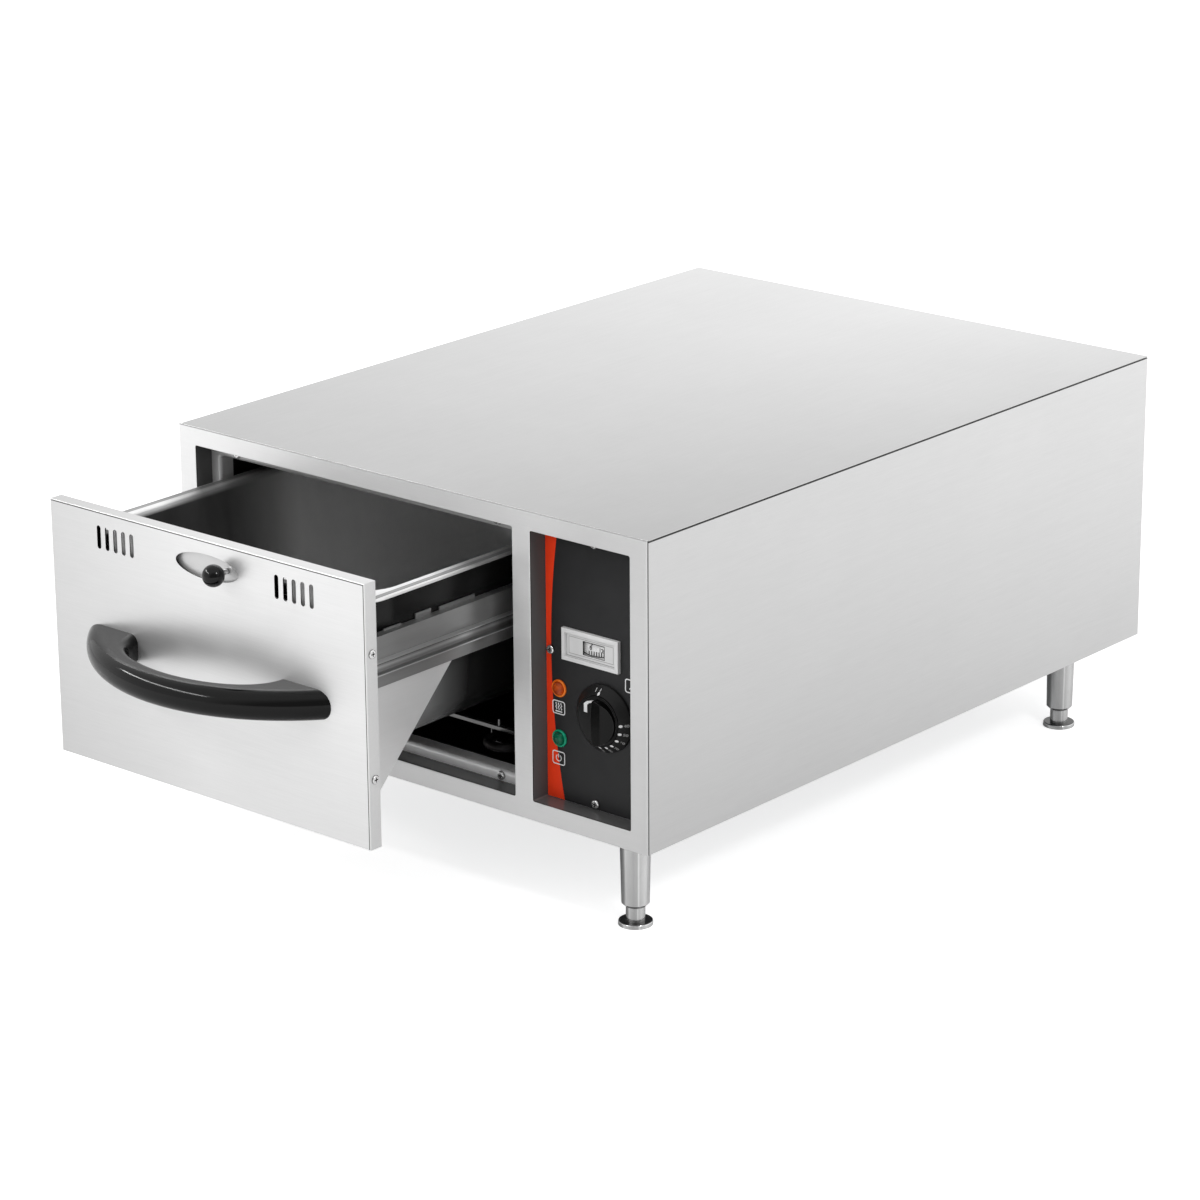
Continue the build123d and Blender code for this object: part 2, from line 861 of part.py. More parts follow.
def make_thermostat_dial():
    """The fixed conical scale ring round the thermostat knob, with a well for the knob's hub."""
    rim_front = overlay_front - dial_rim
    dial_front = overlay_front - dial_thickness
    well = knob_hub_radius + turning_gap
    dial = rod_y(control_knob_x, rim_front, overlay_front, knob_z, dial_radius)
    dial += Pos(control_knob_x, (rim_front + dial_front) / 2, knob_z) * Rot(90, 0, 0) * Cone(
        dial_radius, well + dial_wall, dial_thickness - dial_rim)
    dial -= rod_y(control_knob_x, dial_front - 1, overlay_front - dial_floor, knob_z, well)
    return dial - rod_y(control_knob_x, dial_front - 1, overlay_front + 1, knob_z,
                        shaft_radius + 1)


def make_thermostat_shaft():
    return rod_y(control_knob_x, knob_back - knob_shaft_socket,
                 control_back + thermostat_depth / 2 - 1, knob_z, shaft_radius)


knob_back = overlay_front - dial_floor - turning_gap
knob_front = overlay_front - dial_thickness - knob_hub_proud
grip_front = knob_front - knob_grip_height


def make_thermostat_knob():
    """A flat hub with a half-moon grip on its right half, seen with the pointer at upper left."""
    hub = rod_y(control_knob_x, knob_front, knob_back, knob_z, knob_hub_radius)
    hub = fillet(hub.edges().group_by(Axis.Y)[0], edge_round)
    face_plane = Plane(origin=(control_knob_x, knob_front, knob_z), x_dir=(1, 0, 0),
                       z_dir=(0, -1, 0))
    upper = (0, knob_grip_radius)
    lower = (0, -knob_grip_radius)
    outline = ThreePointArc(upper, (knob_grip_radius, 0), lower)
    outline += ThreePointArc(lower, (-knob_grip_bulge, 0), upper)
    grip = extrude(face_plane * make_face(outline), amount=knob_grip_height)
    far = knob_grip_radius + 1
    slope = Polyline(
        (control_knob_x + knob_bar_width, grip_front - 1),
        (control_knob_x + knob_bar_width, grip_front),
        (control_knob_x + knob_grip_radius, grip_front + knob_grip_slope),
        (control_knob_x + far, grip_front + knob_grip_slope),
        (control_knob_x + far, grip_front - 1),
        close=True,
    )
    waste = extrude(Pos(0, 0, knob_z - far) * make_face(slope), amount=2 * far)
    knob = hub + (grip - waste)
    return knob - rod_y(control_knob_x, knob_back - knob_shaft_socket, knob_back + 1, knob_z,
                        shaft_radius)


def make_lamp_lens(rise):
    """A round lens: a short collar and a domed front."""
    z = base + rise
    collar_front = overlay_front - lamp_base
    lens = rod_y(lamp_x, collar_front, overlay_front, z, lamp_radius)
    dome = Pos(lamp_x, collar_front - lamp_dome / 2, z) * Rot(90, 0, 0) * Cone(
        lamp_radius - edge_round, lamp_top_radius, lamp_dome)
    dome = fillet(dome.edges().group_by(Axis.Y)[0], lamp_dome / 3)
    return lens + dome


def make_lamp_housings():
    housings = []
    for rise in lamp_rises:
        z = base + rise
        body = rod_y(lamp_x, overlay_front, control_back + lamp_body_length, z, lamp_body_radius)
        nut = Pos(lamp_x, control_back + lamp_nut_thickness / 2, z) * Rot(90, 0, 0) * extrude(
            RegularPolygon(lamp_nut_radius, 6), amount=lamp_nut_thickness / 2, both=True)
        housings.append(body + nut)
    return Compound(housings)


# Thermometer

face_front = overlay_front - gauge_thickness + gauge_face_setback
lens_front = face_front + gauge_face_sheet
card_front = control_back - gauge_card_thickness
needle_front = card_front - turning_gap - needle_thickness
window_left = gauge_x - gauge_width / 2 + gauge_window_left
window_x = window_left + gauge_window_width / 2
needle_z = gauge_z + needle_lift


def make_thermometer_bezel():
    half = gauge_width / 2
    tall = gauge_height / 2
    rim = gauge_rim
    start = overlay_front - gauge_thickness
    bezel = block(gauge_x - half, gauge_x + half, start, overlay_front,
                  gauge_z - tall, gauge_z + tall)
    bezel = fillet(bezel.edges().group_by(Axis.Y)[0], edge_round)
    bezel -= block(gauge_x - half + rim, gauge_x + half - rim, start - 1, face_front,
                   gauge_z - tall + rim, gauge_z + tall - rim)
    bezel -= block(gauge_x - half + rim, gauge_x + half - rim, lens_front, overlay_front + 1,
                   gauge_z - tall + rim, gauge_z + tall - rim)
    return bezel - block(window_left, window_left + gauge_window_width, start, overlay_front,
                         gauge_z - gauge_window_height / 2, gauge_z + gauge_window_height / 2)


def gauge_plate(y0, y1):
    inset = gauge_rim + screw_clearance
    return block(gauge_x - gauge_width / 2 + inset, gauge_x + gauge_width / 2 - inset, y0, y1,
                 gauge_z - gauge_height / 2 + inset, gauge_z + gauge_height / 2 - inset)


def make_thermometer_lens():
    return gauge_plate(lens_front, lens_front + gauge_lens_thickness)


def make_thermometer_card():
    card = gauge_plate(card_front, control_back)
    return card - rod_y(window_x, card_front - 1, control_back + 1, needle_z,
                        needle_pin_radius + shaft_clearance)


def make_thermometer_needle():
    """A hanging pointer on a small hub and pin, at the cold end of its scale."""
    hub = rod_y(window_x, needle_front, needle_front + needle_thickness, needle_z,
                needle_hub_radius)
    blade = Box(needle_width, needle_thickness, needle_length)
    lean = Rot(0, needle_rest_angle, 0) * Pos(0, 0, -needle_length / 2) * blade
    needle = hub + Pos(window_x, needle_front + needle_thickness / 2, needle_z) * lean
    return needle + rod_y(window_x, needle_front, control_back + gauge_body_depth / 4, needle_z,
                          needle_pin_radius)


def make_thermometer_body():
    body = gauge_cutout(control_back, control_back + gauge_body_depth, 0)
    return body - rod_y(window_x, control_back - 1, control_back + gauge_body_depth / 3, needle_z,
                        needle_pin_radius + shaft_clearance)


# Sensing bulbs and wires

def capillary_crossings():
    return [
        (front + thermostat_crossing, pan_rim_top - thermostat_bulb_drop),
        (front + thermometer_crossing, pan_rim_top - thermometer_bulb_drop),
    ]


def make_sensing_bulb(x, y, z, crossing):
    """A thin filled tube from an instrument through the cavity wall, with its bulb inside."""
    cross_y, cross_z = crossing
    bulb_x = drawer_x + cavity_half - bulb_radius - bulb_wall_gap
    start = front + bulb_start
    points = [(x, y, z), (x, cross_y, z), (x, cross_y, cross_z), (bulb_x, cross_y, cross_z),
              (bulb_x, start, cross_z)]
    capillary = tube_along(points, capillary_radius, [capillary_bend, capillary_bend, bulb_bend])
    return capillary + rod_y(bulb_x, start, start + bulb_length, cross_z, bulb_radius)


def terminal_point(column, depth, level):
    """A point of the terminal block from its shares across, along and up."""
    return (divider_x + panel_sheet + column * terminal_width,
            front + terminal_setback + depth * terminal_length_along,
            element_z + terminal_lift + level * terminal_height)


def make_terminal_block():
    low = terminal_point(0, 0, 0)
    high = terminal_point(1, 1, 1)
    body = block(low[0], high[0], low[1], high[1], low[2], high[2])
    for index in range(terminal_ways):
        x, y, z = terminal_point(1, (index + 0.5) / terminal_ways, 0.5)
        body -= block(x - screw_well_depth, x + 1, y - screw_well / 2, y + screw_well / 2,
                      z - screw_well / 2, z + screw_well / 2)
    return body


def wire_crossings():
    """Where the two element wires pass the divider wall, in the space behind the insulation."""
    slab_end = liner_back + panel_sheet + insulation_gap + insulation_rear
    lane = (slab_end + back - panel_sheet) / 2
    return [(lane, terminal_point(0, 0, level)[2]) for level in wire_levels]


def make_wiring_loom():
    """Wires from the terminal block to the thermostat, both lamps and both element ends."""
    low_level, high_level = wire_levels
    thermostat_end = (control_knob_x, control_back + thermostat_depth,
                      knob_z - thermostat_height / 4)
    lamp_back = control_back + lamp_body_length
    low_lamp_end = (lamp_x, lamp_back, base + lamp_rises[0])
    high_lamp_end = (lamp_x, lamp_back, base + lamp_rises[1])
    routes = ((thermostat_end, terminal_point(0.75, 0, high_level)),
              (low_lamp_end, terminal_point(0.25, 0, low_level)),
              (high_lamp_end, terminal_point(0.25, 0, high_level)))
    wires = []
    for start, end in routes:
        leave = (start[0], start[1] + wire_straight, start[2])
        arrive = (end[0], end[1] - wire_straight, end[2])
        wires.append(tube_along([start, leave, arrive, end], wire_radius, wire_bend))
    tip = liner_back + element_tail + terminal_length
    far_end, near_end = element_ends()
    for x, level, (lane, z) in zip((near_end, far_end), wire_levels, wire_crossings()):
        start = terminal_point(0.75, 1, level)
        points = [start, (start[0], lane, z), (x, lane, z), (x, lane, element_z),
                  (x, tip, element_z)]
        wires.append(tube_along(points, wire_radius,
                                [wire_corner_bend, wire_end_bend, wire_end_bend]))
    return Compound(wires)


def make_cable_gland():
    """The empty cord inlet: collar, dome nut, thread and lock nut with one bore."""
    z = base + gland_rise
    inner_end = back - gland_inner_length
    gland = rod_y(gland_x, inner_end, back, z, gland_thread_radius)
    collar = Pos(gland_x, back + gland_collar_thickness / 2, z) * Rot(90, 0, 0) * extrude(
        RegularPolygon(gland_collar_radius, 6), amount=gland_collar_thickness / 2, both=True)
    dome = rod_y(gland_x, back, back + gland_reach, z, gland_thread_radius + 1.5)
    dome = fillet(dome.edges().group_by(Axis.Y)[-1], 2)
    nut_back = back - panel_sheet
    nut = Pos(gland_x, nut_back - gland_nut_thickness / 2, z) * Rot(90, 0, 0) * extrude(
        RegularPolygon(gland_collar_radius, 6), amount=gland_nut_thickness / 2, both=True)
    gland += [collar, dome, nut]
    return gland - rod_y(gland_x, inner_end - 1, back + gland_reach + 1, z, gland_bore_radius)


# Legs and feet

def make_leg_tubes():
    """Tapered tubes with a welded stud on top and a bore for the foot's stem."""
    tubes = []
    for x, y in leg_places():
        tube = Pos(x, y, (tube_bottom + base) / 2) * Cone(
            leg_bottom_radius, leg_top_radius, leg_tube_length)
        tube = chamfer(tube.edges().group_by(Axis.Z)[0], leg_shoulder)
        tube += rod_z(x, y, base, base + panel_sheet + nut_height + stud_end, stud_radius)
        tube -= rod_z(x, y, tube_bottom - 1, tube_bottom + leg_bore_depth,
                      foot_stem_radius + foot_stem_clearance)
        tubes.append(tube)
    return Compound(tubes)


def make_leg_nuts():
    nuts = []
    for x, y in leg_places():
        low = base + panel_sheet
        nut = Pos(x, y, low) * extrude(RegularPolygon(nut_radius, 6), amount=nut_height)
        nuts.append(nut - rod_z(x, y, low - 1, low + nut_height + 1, stud_radius))
    return Compound(nuts)


def make_foot(x, y):
    stem = rod_z(x, y, 0, tube_bottom + foot_engagement, foot_stem_radius)
    flange = rod_z(x, y, 0, foot_flange_thickness, foot_flange_radius)
    flange = fillet(flange.edges().group_by(Axis.Z)[-1], foot_flange_round)
    return stem + flange


# Drawer front

def make_drawer_front_panel():
    x0 = drawer_x - panel_half
    x1 = drawer_x + panel_half
    sheet = front_sheet
    panel = block(x0, x1, face, front_back, panel_low, panel_high)
    panel = fillet(panel.edges().group_by(Axis.Y)[0], edge_round)
    panel -= block(x0 + sheet, x1 - sheet, face + sheet, front_back + 1,
                   panel_low + sheet, panel_high - sheet)
    for x in vent_places():
        panel -= upright_slot(x, face - 1, face + sheet + 1, vent_z, vent_width, vent_height)
    window = Pos(drawer_x + window_offset, face + sheet / 2, vent_z) * Rot(90, 0, 0) * extrude(
        Ellipse(window_half_length, window_half_height), amount=sheet, both=True)
    panel -= window
    for side in (-1, 1):
        panel -= rod_y(drawer_x + side * handle_bolt_offset, face - 1, face + sheet + 1, handle_z,
                       handle_bolt_radius + screw_clearance)
        for rise in flange_screw_heights:
            edge = drawer_x + side * panel_half
            panel -= rod_x(edge - 2, edge + 2, face + flange_screw_setback, panel_low + rise,
                           screw_shank_radius + screw_clearance)
    return panel


def make_drawer_inner_plate():
    """The plate that closes the drawer front from behind, with flanges inside the panel's."""
    half = panel_half - front_sheet
    sheet = front_sheet
    low = panel_low + front_sheet
    high = panel_high - front_sheet
    plate = block(drawer_x - half, drawer_x + half, front_back - sheet, front_back, low, high)
    for side in (-1, 1):
        plate += side_block(side, half - sheet, half, front_back - sheet - inner_flange,
                            front_back - sheet, low, high)
        centre = drawer_x + side * vent_group_offset
        half_group = vent_count * vent_pitch / 2
        plate -= block(centre - half_group, centre + half_group, front_back - 2, front_back + 1,
                       vent_z - vent_height / 2, vent_z + vent_height / 2)
        for rise in flange_screw_heights:
            edge = drawer_x + side * half
            plate -= rod_x(edge - 2, edge + 2, face + flange_screw_setback, panel_low + rise,
                           screw_shank_radius + screw_clearance)
    return plate


def make_panel_screws():
    screws = []
    for side in (-1, 1):
        places = []
        for rise in flange_screw_heights:
            places.append((drawer_x + side * panel_half, face + flange_screw_setback,
                           panel_low + rise))
        screws += screws_at(places, (0, 90 * side, 0), 5, flange_screw_head_height).solids()
    return Compound(screws)


def make_handle():
    """A bow handle: an outer arc, an oval finger gap and two flat feet on the panel."""
    low = handle_z - handle_height / 2
    ends = (drawer_x - handle_half_span, drawer_x + handle_half_span)
    arc = ThreePointArc((ends[0], face), (drawer_x, face - handle_reach), (ends[1], face))
    bow = make_face(arc + Line((ends[1], face), (ends[0], face)))
    bow -= Pos(drawer_x, face) * Ellipse(grip_gap_half_width, grip_gap_depth)
    handle = extrude(Pos(0, 0, low) * bow, amount=handle_height)
    outer = handle.edges().filter_by(GeomType.CIRCLE)
    handle = fillet(outer, handle_outer_round)
    inner = handle.edges().filter_by(GeomType.ELLIPSE)
    inner = [edge for edge in inner if edge.center().Y < face - grip_gap_depth / 4]
    handle = fillet(inner, handle_inner_round)
    for side in (-1, 1):
        handle -= rod_y(drawer_x + side * handle_bolt_offset, face - handle_bolt_depth, face + 1,
                        handle_z, handle_bolt_radius)
    return handle


def make_handle_screws():
    screws = []
    for side in (-1, 1):
        x = drawer_x + side * handle_bolt_offset
        shank = rod_y(x, face - handle_bolt_depth + 1, face + front_sheet, handle_z,
                      handle_bolt_radius)
        head = rod_y(x, face + front_sheet, face + front_sheet + screw_head_height, handle_z,
                     screw_head_radius)
        screws.append(shank + head)
    return Compound(screws)


# Vent shutter

shutter_front = face + shutter_setback
shutter_back = shutter_front + shutter_sheet
leaf_edge = (slots_left_open - vent_count / 2) * vent_pitch
left_leaf_edge = drawer_x - vent_group_offset + leaf_edge
right_leaf_edge = drawer_x + vent_group_offset + leaf_edge
shutter_leaf = (vent_count - 1) * vent_pitch + vent_width + 2 * shutter_overlap
shutter_low = vent_z - shutter_height / 2
shutter_high = vent_z + shutter_height / 2


def make_vent_shutter():
    """A sliding strip. Its left end and the window before its right leaf uncover the slots."""
    plate = block(left_leaf_edge, right_leaf_edge + shutter_leaf, shutter_front, shutter_back,
                  shutter_low, shutter_high)
    return plate - block(right_leaf_edge - shutter_window, right_leaf_edge,
                         shutter_front - 1, shutter_back + 1,
                         vent_z - vent_height / 2 - 1, vent_z + vent_height / 2 + 1)


def make_shutter_guides():
    """Two grooved strips on the back of the front sheet that carry the shutter's edges."""
    guides = []
    inside = face + front_sheet
    groove_front = shutter_front - shutter_play
    groove_back = shutter_back + shutter_play
    outside = groove_back + front_sheet
    for side in (-1, 1):
        edge = vent_z + side * (shutter_height / 2 + shutter_play)
        tip = vent_z + side * (shutter_height / 2 - guide_lip)
        far = edge + side * guide_lip
        z0, z1 = sorted((tip, far))
        guide = block(drawer_x - guide_half, drawer_x + guide_half, inside, outside,
                      z0, z1)
        g0, g1 = sorted((tip - side, edge))
        guide -= block(drawer_x - guide_half - 1, drawer_x + guide_half + 1,
                       groove_front, groove_back, g0, g1)
        guides.append(guide)
    return Compound(guides)


def make_vent_knob_stem():
    return rod_y(drawer_x + stem_offset, face - knob_standoff, shutter_front, vent_z, stem_radius)


def make_vent_knob():
    ball = Pos(drawer_x + stem_offset, face - knob_standoff, vent_z) * Sphere(knob_radius)
    return ball - make_vent_knob_stem()


# Drawer frame

def make_drawer_sides():
    """Angle sections along both sides, with low raised tabs that centre the pan."""
    sides = []
    end = side_start + drawer_frame_length
    sheet = rail_sheet
    tip = frame_half - sheet - frame_top_flange
    for side in (-1, 1):
        angle = side_block(side, frame_half - sheet, frame_half, side_start, end,
                           side_low, side_high)
        angle += side_block(side, tip, frame_half, side_start, end, side_high - sheet, side_high)
        for setback, length, height in zip(tab_setbacks, tab_lengths, tab_heights):
            start = face + setback
            angle += side_block(side, tip, tip + sheet, start, start + length,
                                side_high, side_high + height)
        sides.append(angle)
    return Compound(sides)


def make_front_gussets():
    """Sloping plates inside the drawer sides, with a flange on the drawer front."""
    gussets = []
    sheet = rail_sheet
    low = base + gusset_low_rise
    knee = front_back + gusset_reach
    for side in (-1, 1):
        outline = Polyline((front_back, low), (knee, low + gusset_reach),
                           (knee, side_high - sheet), (front_back, side_high - sheet), close=True)
        face_outline = Plane.YZ * make_face(outline)
        x = drawer_x + side * (frame_half - 1.5 * sheet)
        plate = Pos(x, 0, 0) * extrude(face_outline, amount=sheet / 2, both=True)
        inner = frame_half - 2 * sheet
        plate += side_block(side, inner - gusset_flange, inner, front_back, front_back + sheet,
                            low, side_high - 2 * sheet)
        gussets.append(plate)
    return Compound(gussets)


def make_pan_rests():
    """Stepped cross bars in front and behind that carry the pan's rim inside its bead."""
    sheet = rail_sheet
    half = frame_half - frame_top_flange - sheet
    ledge_half = pan_width / 2 - pan_rim_corner
    step = pan_rim_under - rest_step
    ledge_start = pan_front + pan_bead_width + 2 * insulation_gap
    ledge_end = ledge_start + rest_ledge
    low = side_high + rest_step
    front_rest = side_block(1, -half, half, front_back, front_back + sheet, low, step)
    front_rest += side_block(1, -ledge_half, ledge_half, front_back, ledge_start + sheet,
                             step - sheet, step)
    front_rest += side_block(1, -ledge_half, ledge_half, ledge_start, ledge_start + sheet,
                             step - sheet, pan_rim_under)
    front_rest += side_block(1, -ledge_half, ledge_half, ledge_start, ledge_end,
                             pan_rim_under - sheet, pan_rim_under)
    ledge_end = pan_back - pan_bead_width - 2 * insulation_gap
    ledge_start = ledge_end - rest_ledge
    web = pan_back + sheet
    rear_rest = side_block(1, -half, half, web, web + sheet, side_low, step)
    rear_rest += side_block(1, -ledge_half, ledge_half, ledge_end - sheet, web + sheet,
                            step - sheet, step)
    rear_rest += side_block(1, -ledge_half, ledge_half, ledge_end - sheet, ledge_end,
                            step - sheet, pan_rim_under)
    rear_rest += side_block(1, -ledge_half, ledge_half, ledge_start, ledge_end,
                            pan_rim_under - sheet, pan_rim_under)
    for side in (-1, 1):
        rear_rest += side_block(side, half, frame_half - sheet, web, web + sheet,
                                side_low, side_high - 2 * sheet)
    return Compound([front_rest, rear_rest])


def pan_tub(inset, height):
    """The tapered tub below the rim, drawn in by the inset."""
    middle = (pan_front + pan_back) / 2
    section = RectangleRounded(pan_width - 2 * (pan_rim_width + inset),
                               pan_length - 2 * (pan_rim_width + inset), pan_body_corner - inset)
    tub = extrude(Pos(drawer_x, middle, height) * section, dir=(0, 0, -1),
                  amount=height - pan_rim_top + pan_depth - inset, taper=pan_taper)
    return fillet(tub.edges().group_by(Axis.Z)[0], pan_bottom_round - inset)


def make_food_pan():
    """A tapered tub with a wide flat rim and a rounded bead round the rim's edge."""
    middle = (pan_front + pan_back) / 2
    low = pan_rim_under - pan_bead_drop
    rim = extrude(Pos(drawer_x, middle, low) * RectangleRounded(
        pan_width, pan_length, pan_rim_corner), amount=pan_bead_drop + pan_rim_sheet)
    rim = fillet(rim.edges().group_by(Axis.Z)[0] + rim.edges().group_by(Axis.Z)[-1],
                 pan_bead_round)
    rim -= extrude(Pos(drawer_x, middle, low - 1) * RectangleRounded(
        pan_width - 2 * pan_bead_width, pan_length - 2 * pan_bead_width,
        pan_rim_corner - pan_bead_width), amount=pan_bead_drop + 1)
    pan = rim + pan_tub(0, pan_rim_under)
    pan -= pan_tub(pan_sheet, pan_rim_top)
    half_width = pan_width / 2 - pan_rim_width
    half_length = pan_length / 2 - pan_rim_width
    mouth = []
    for edge in pan.edges().group_by(Axis.Z)[-1]:
        centre = edge.center()
        if abs(centre.X - drawer_x) < half_width and abs(centre.Y - middle) < half_length:
            mouth.append(edge)
    return fillet(mouth, pan_mouth_round)


os.makedirs("parts", exist_ok=True)

save("front_frame", make_front_frame())
save("top_panel", make_top_panel())
save("side_panel_left", make_side_panel(-1))
save("side_panel_right", make_side_panel(1))
save("bottom_panel", make_bottom_panel())
save("rear_panel", make_rear_panel())
save("divider_wall", make_divider_wall())
save("rear_screws", screws_at(rear_screw_places(), (-90, 0, 0), screw_length, screw_head_height))

save("cavity_liner", make_cavity_liner())
save("cavity_front_trim", make_cavity_front_trim())
save("insulation_blankets", make_insulation())
save("front_screws", screws_at(trim_screw_places() + control_screw_places(), (90, 0, 0),
                               screw_length, screw_head_height))

save("heating_element", make_heating_element())
save("element_bushings", make_element_bushings())
save("element_bridges", make_element_bridges())

save("fixed_rails", make_fixed_rails())
save("drawer_rails", make_drawer_rails())
save("front_rollers", make_rollers(front_roller_span, front_roller_y))
save("rear_rollers", make_rollers(rear_roller_span, rear_roller_y))
save("front_roller_pins", make_roller_pins(fixed_web_face, front_roller_span[1],
                                           front_roller_span[0], front_roller_y))
save("rear_roller_pins", make_roller_pins(frame_half + rail_sheet, rear_roller_span[0],
                                          rear_roller_span[1], rear_roller_y))

save("control_panel", make_control_panel())
save("control_overlay", make_control_overlay())
save("thermostat_body", make_thermostat_body())
save("thermostat_dial", make_thermostat_dial())
save("thermostat_shaft", make_thermostat_shaft())
save("thermostat_knob", make_thermostat_knob())
save("green_lens", make_lamp_lens(lamp_rises[0]))
save("amber_lens", make_lamp_lens(lamp_rises[1]))
save("lamp_housings", make_lamp_housings())

save("thermometer_bezel", make_thermometer_bezel())
save("thermometer_lens", make_thermometer_lens())
save("thermometer_card", make_thermometer_card())
save("thermometer_needle", make_thermometer_needle())
save("thermometer_body", make_thermometer_body())
save("thermostat_bulb", make_sensing_bulb(control_knob_x, control_back + thermostat_depth, knob_z,
                                          capillary_crossings()[0]))
save("thermometer_bulb", make_sensing_bulb(gauge_x, control_back + gauge_body_depth, gauge_z,
                                           capillary_crossings()[1]))

save("terminal_block", make_terminal_block())
save("wiring_loom", make_wiring_loom())
save("cable_gland", make_cable_gland())

save("leg_tubes", make_leg_tubes())
save("leg_nuts", make_leg_nuts())
foot_names = ("foot_front_left", "foot_front_right", "foot_rear_left", "foot_rear_right")
for foot_name, (foot_x, foot_y) in zip(foot_names, leg_places()):
    save(foot_name, make_foot(foot_x, foot_y))

save("drawer_front_panel", make_drawer_front_panel())
save("drawer_inner_plate", make_drawer_inner_plate())
save("panel_screws", make_panel_screws())
save("handle", make_handle())
save("handle_screws", make_handle_screws())
save("shutter_guides", make_shutter_guides())
save("vent_shutter", make_vent_shutter())
save("vent_knob_stem", make_vent_knob_stem())
save("vent_knob", make_vent_knob())
save("drawer_sides", make_drawer_sides())
save("front_gussets", make_front_gussets())
save("pan_rests", make_pan_rests())
save("food_pan", make_food_pan())
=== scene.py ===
import json
import math

import bpy
from mathutils import Matrix, Vector


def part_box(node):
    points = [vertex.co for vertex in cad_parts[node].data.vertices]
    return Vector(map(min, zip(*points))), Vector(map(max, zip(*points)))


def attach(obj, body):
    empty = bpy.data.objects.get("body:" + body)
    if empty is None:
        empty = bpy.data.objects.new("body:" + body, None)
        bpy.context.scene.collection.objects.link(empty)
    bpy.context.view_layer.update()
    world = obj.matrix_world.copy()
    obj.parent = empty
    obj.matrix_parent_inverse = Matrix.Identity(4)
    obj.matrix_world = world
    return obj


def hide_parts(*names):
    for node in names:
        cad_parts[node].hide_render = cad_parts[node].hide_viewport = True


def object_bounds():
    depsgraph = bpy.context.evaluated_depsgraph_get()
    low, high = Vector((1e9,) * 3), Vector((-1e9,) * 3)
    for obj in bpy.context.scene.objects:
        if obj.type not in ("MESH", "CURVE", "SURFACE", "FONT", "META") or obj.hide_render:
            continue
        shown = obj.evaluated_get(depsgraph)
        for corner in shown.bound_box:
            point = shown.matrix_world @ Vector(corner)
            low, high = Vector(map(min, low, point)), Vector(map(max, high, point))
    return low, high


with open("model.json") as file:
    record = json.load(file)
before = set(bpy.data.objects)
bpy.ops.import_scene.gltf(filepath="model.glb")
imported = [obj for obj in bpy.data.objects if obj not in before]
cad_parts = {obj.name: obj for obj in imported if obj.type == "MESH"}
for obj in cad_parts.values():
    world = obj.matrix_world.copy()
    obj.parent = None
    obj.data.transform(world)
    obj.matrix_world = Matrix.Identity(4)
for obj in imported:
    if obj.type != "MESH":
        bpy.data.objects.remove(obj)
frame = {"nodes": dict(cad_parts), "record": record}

# Looks of a warming drawer, laid over its solid model. Lengths are in metres.

cad_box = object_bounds()
nodes = frame["nodes"]
mm = 0.001
X, Y, Z = 0, 1, 2

# Places taken from the model
overlay_low, overlay_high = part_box("control_overlay")
overlay_front = overlay_low.y
dial_low, dial_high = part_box("thermostat_dial")
dial_middle = (dial_low + dial_high) / 2
dial_radius = (dial_high.x - dial_low.x) / 2
card_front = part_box("thermometer_card")[0].y
gauge_low, gauge_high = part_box("thermometer_bezel")
pan_low, pan_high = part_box("food_pan")
frame_low, frame_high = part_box("front_frame")
door_low, door_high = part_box("drawer_front_panel")
side_low, side_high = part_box("side_panel_right")
rail_low, rail_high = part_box("drawer_rails")

# Printed stripe and badges
ink = 0.04 * mm
stripe_top_width = 13.1 * mm
stripe_middle_width = 5.3 * mm
stripe_bottom_width = 18.1 * mm
stripe_steps = 24
badge_width = 12.6 * mm
badge_height = 10.9 * mm
badge_corner = 1.8 * mm
badge_line = 0.95 * mm
heat_badge_place = (151.6 * mm, 166.2 * mm)
power_badge_place = (151.0 * mm, 122.5 * mm)
range_badge_place = (228.7 * mm, 201.4 * mm)
symbol_line = 0.8 * mm

# Thermostat's dial and knob
dial_rim = 2.3 * mm
dial_lip_radius = 22.0 * mm
hub_proud = 0.6 * mm
dial_angles = (89.0, 107.0, 125.0, 144.0, 160.0, 177.0)
first_number = 40
number_step = 10
number_size = 3.2 * mm
number_ring = 26.3 * mm
dot_radius = 1.2 * mm
dot_steps = 12
dot_ring = 22.9 * mm
off_mark_line = 0.5 * mm

# Thermometer's window and scale
window_left = 21.5 * mm
window_width = 22.4 * mm
window_low = 7.9 * mm
face_setback = 2.2 * mm
sight_left = 2.2 * mm
sight_down = 1.1 * mm
scale_number_size = 4.8 * mm
scale_number_level = 7.3 * mm
low_number_place = 8.1 * mm
high_number_place = 20.2 * mm
scale_line_width = 1.2 * mm
tick_count = 7
tick_start = 6.4 * mm
tick_foot = 1.0 * mm
tick_gap = 2.6 * mm
tick_rise = 0.18 * mm
tick_length = 3.8 * mm
tick_width = 1.3 * mm

# Lamp lenses
lens_radius = 7.5 * mm
collar_steps = 48
dome_radius = 5.75 * mm
dome_facets = 14

# Widths of dark lines: painted shade in seams between sheets, and a dark line inside the drawer front's
# folds
seam_shade_width = 0.8 * mm
fold_line = 0.8 * mm
top_seam_shade = 0.6 * mm

# Relief of the finishes
grain_depth = 0.01 * mm
skin_depth = 0.02 * mm
spangle_depth = 0.03 * mm
scale_depth = 0.04 * mm
wool_depth = 1.2 * mm
moulded_edge = 0.4 * mm
screw_edge = 0.2 * mm

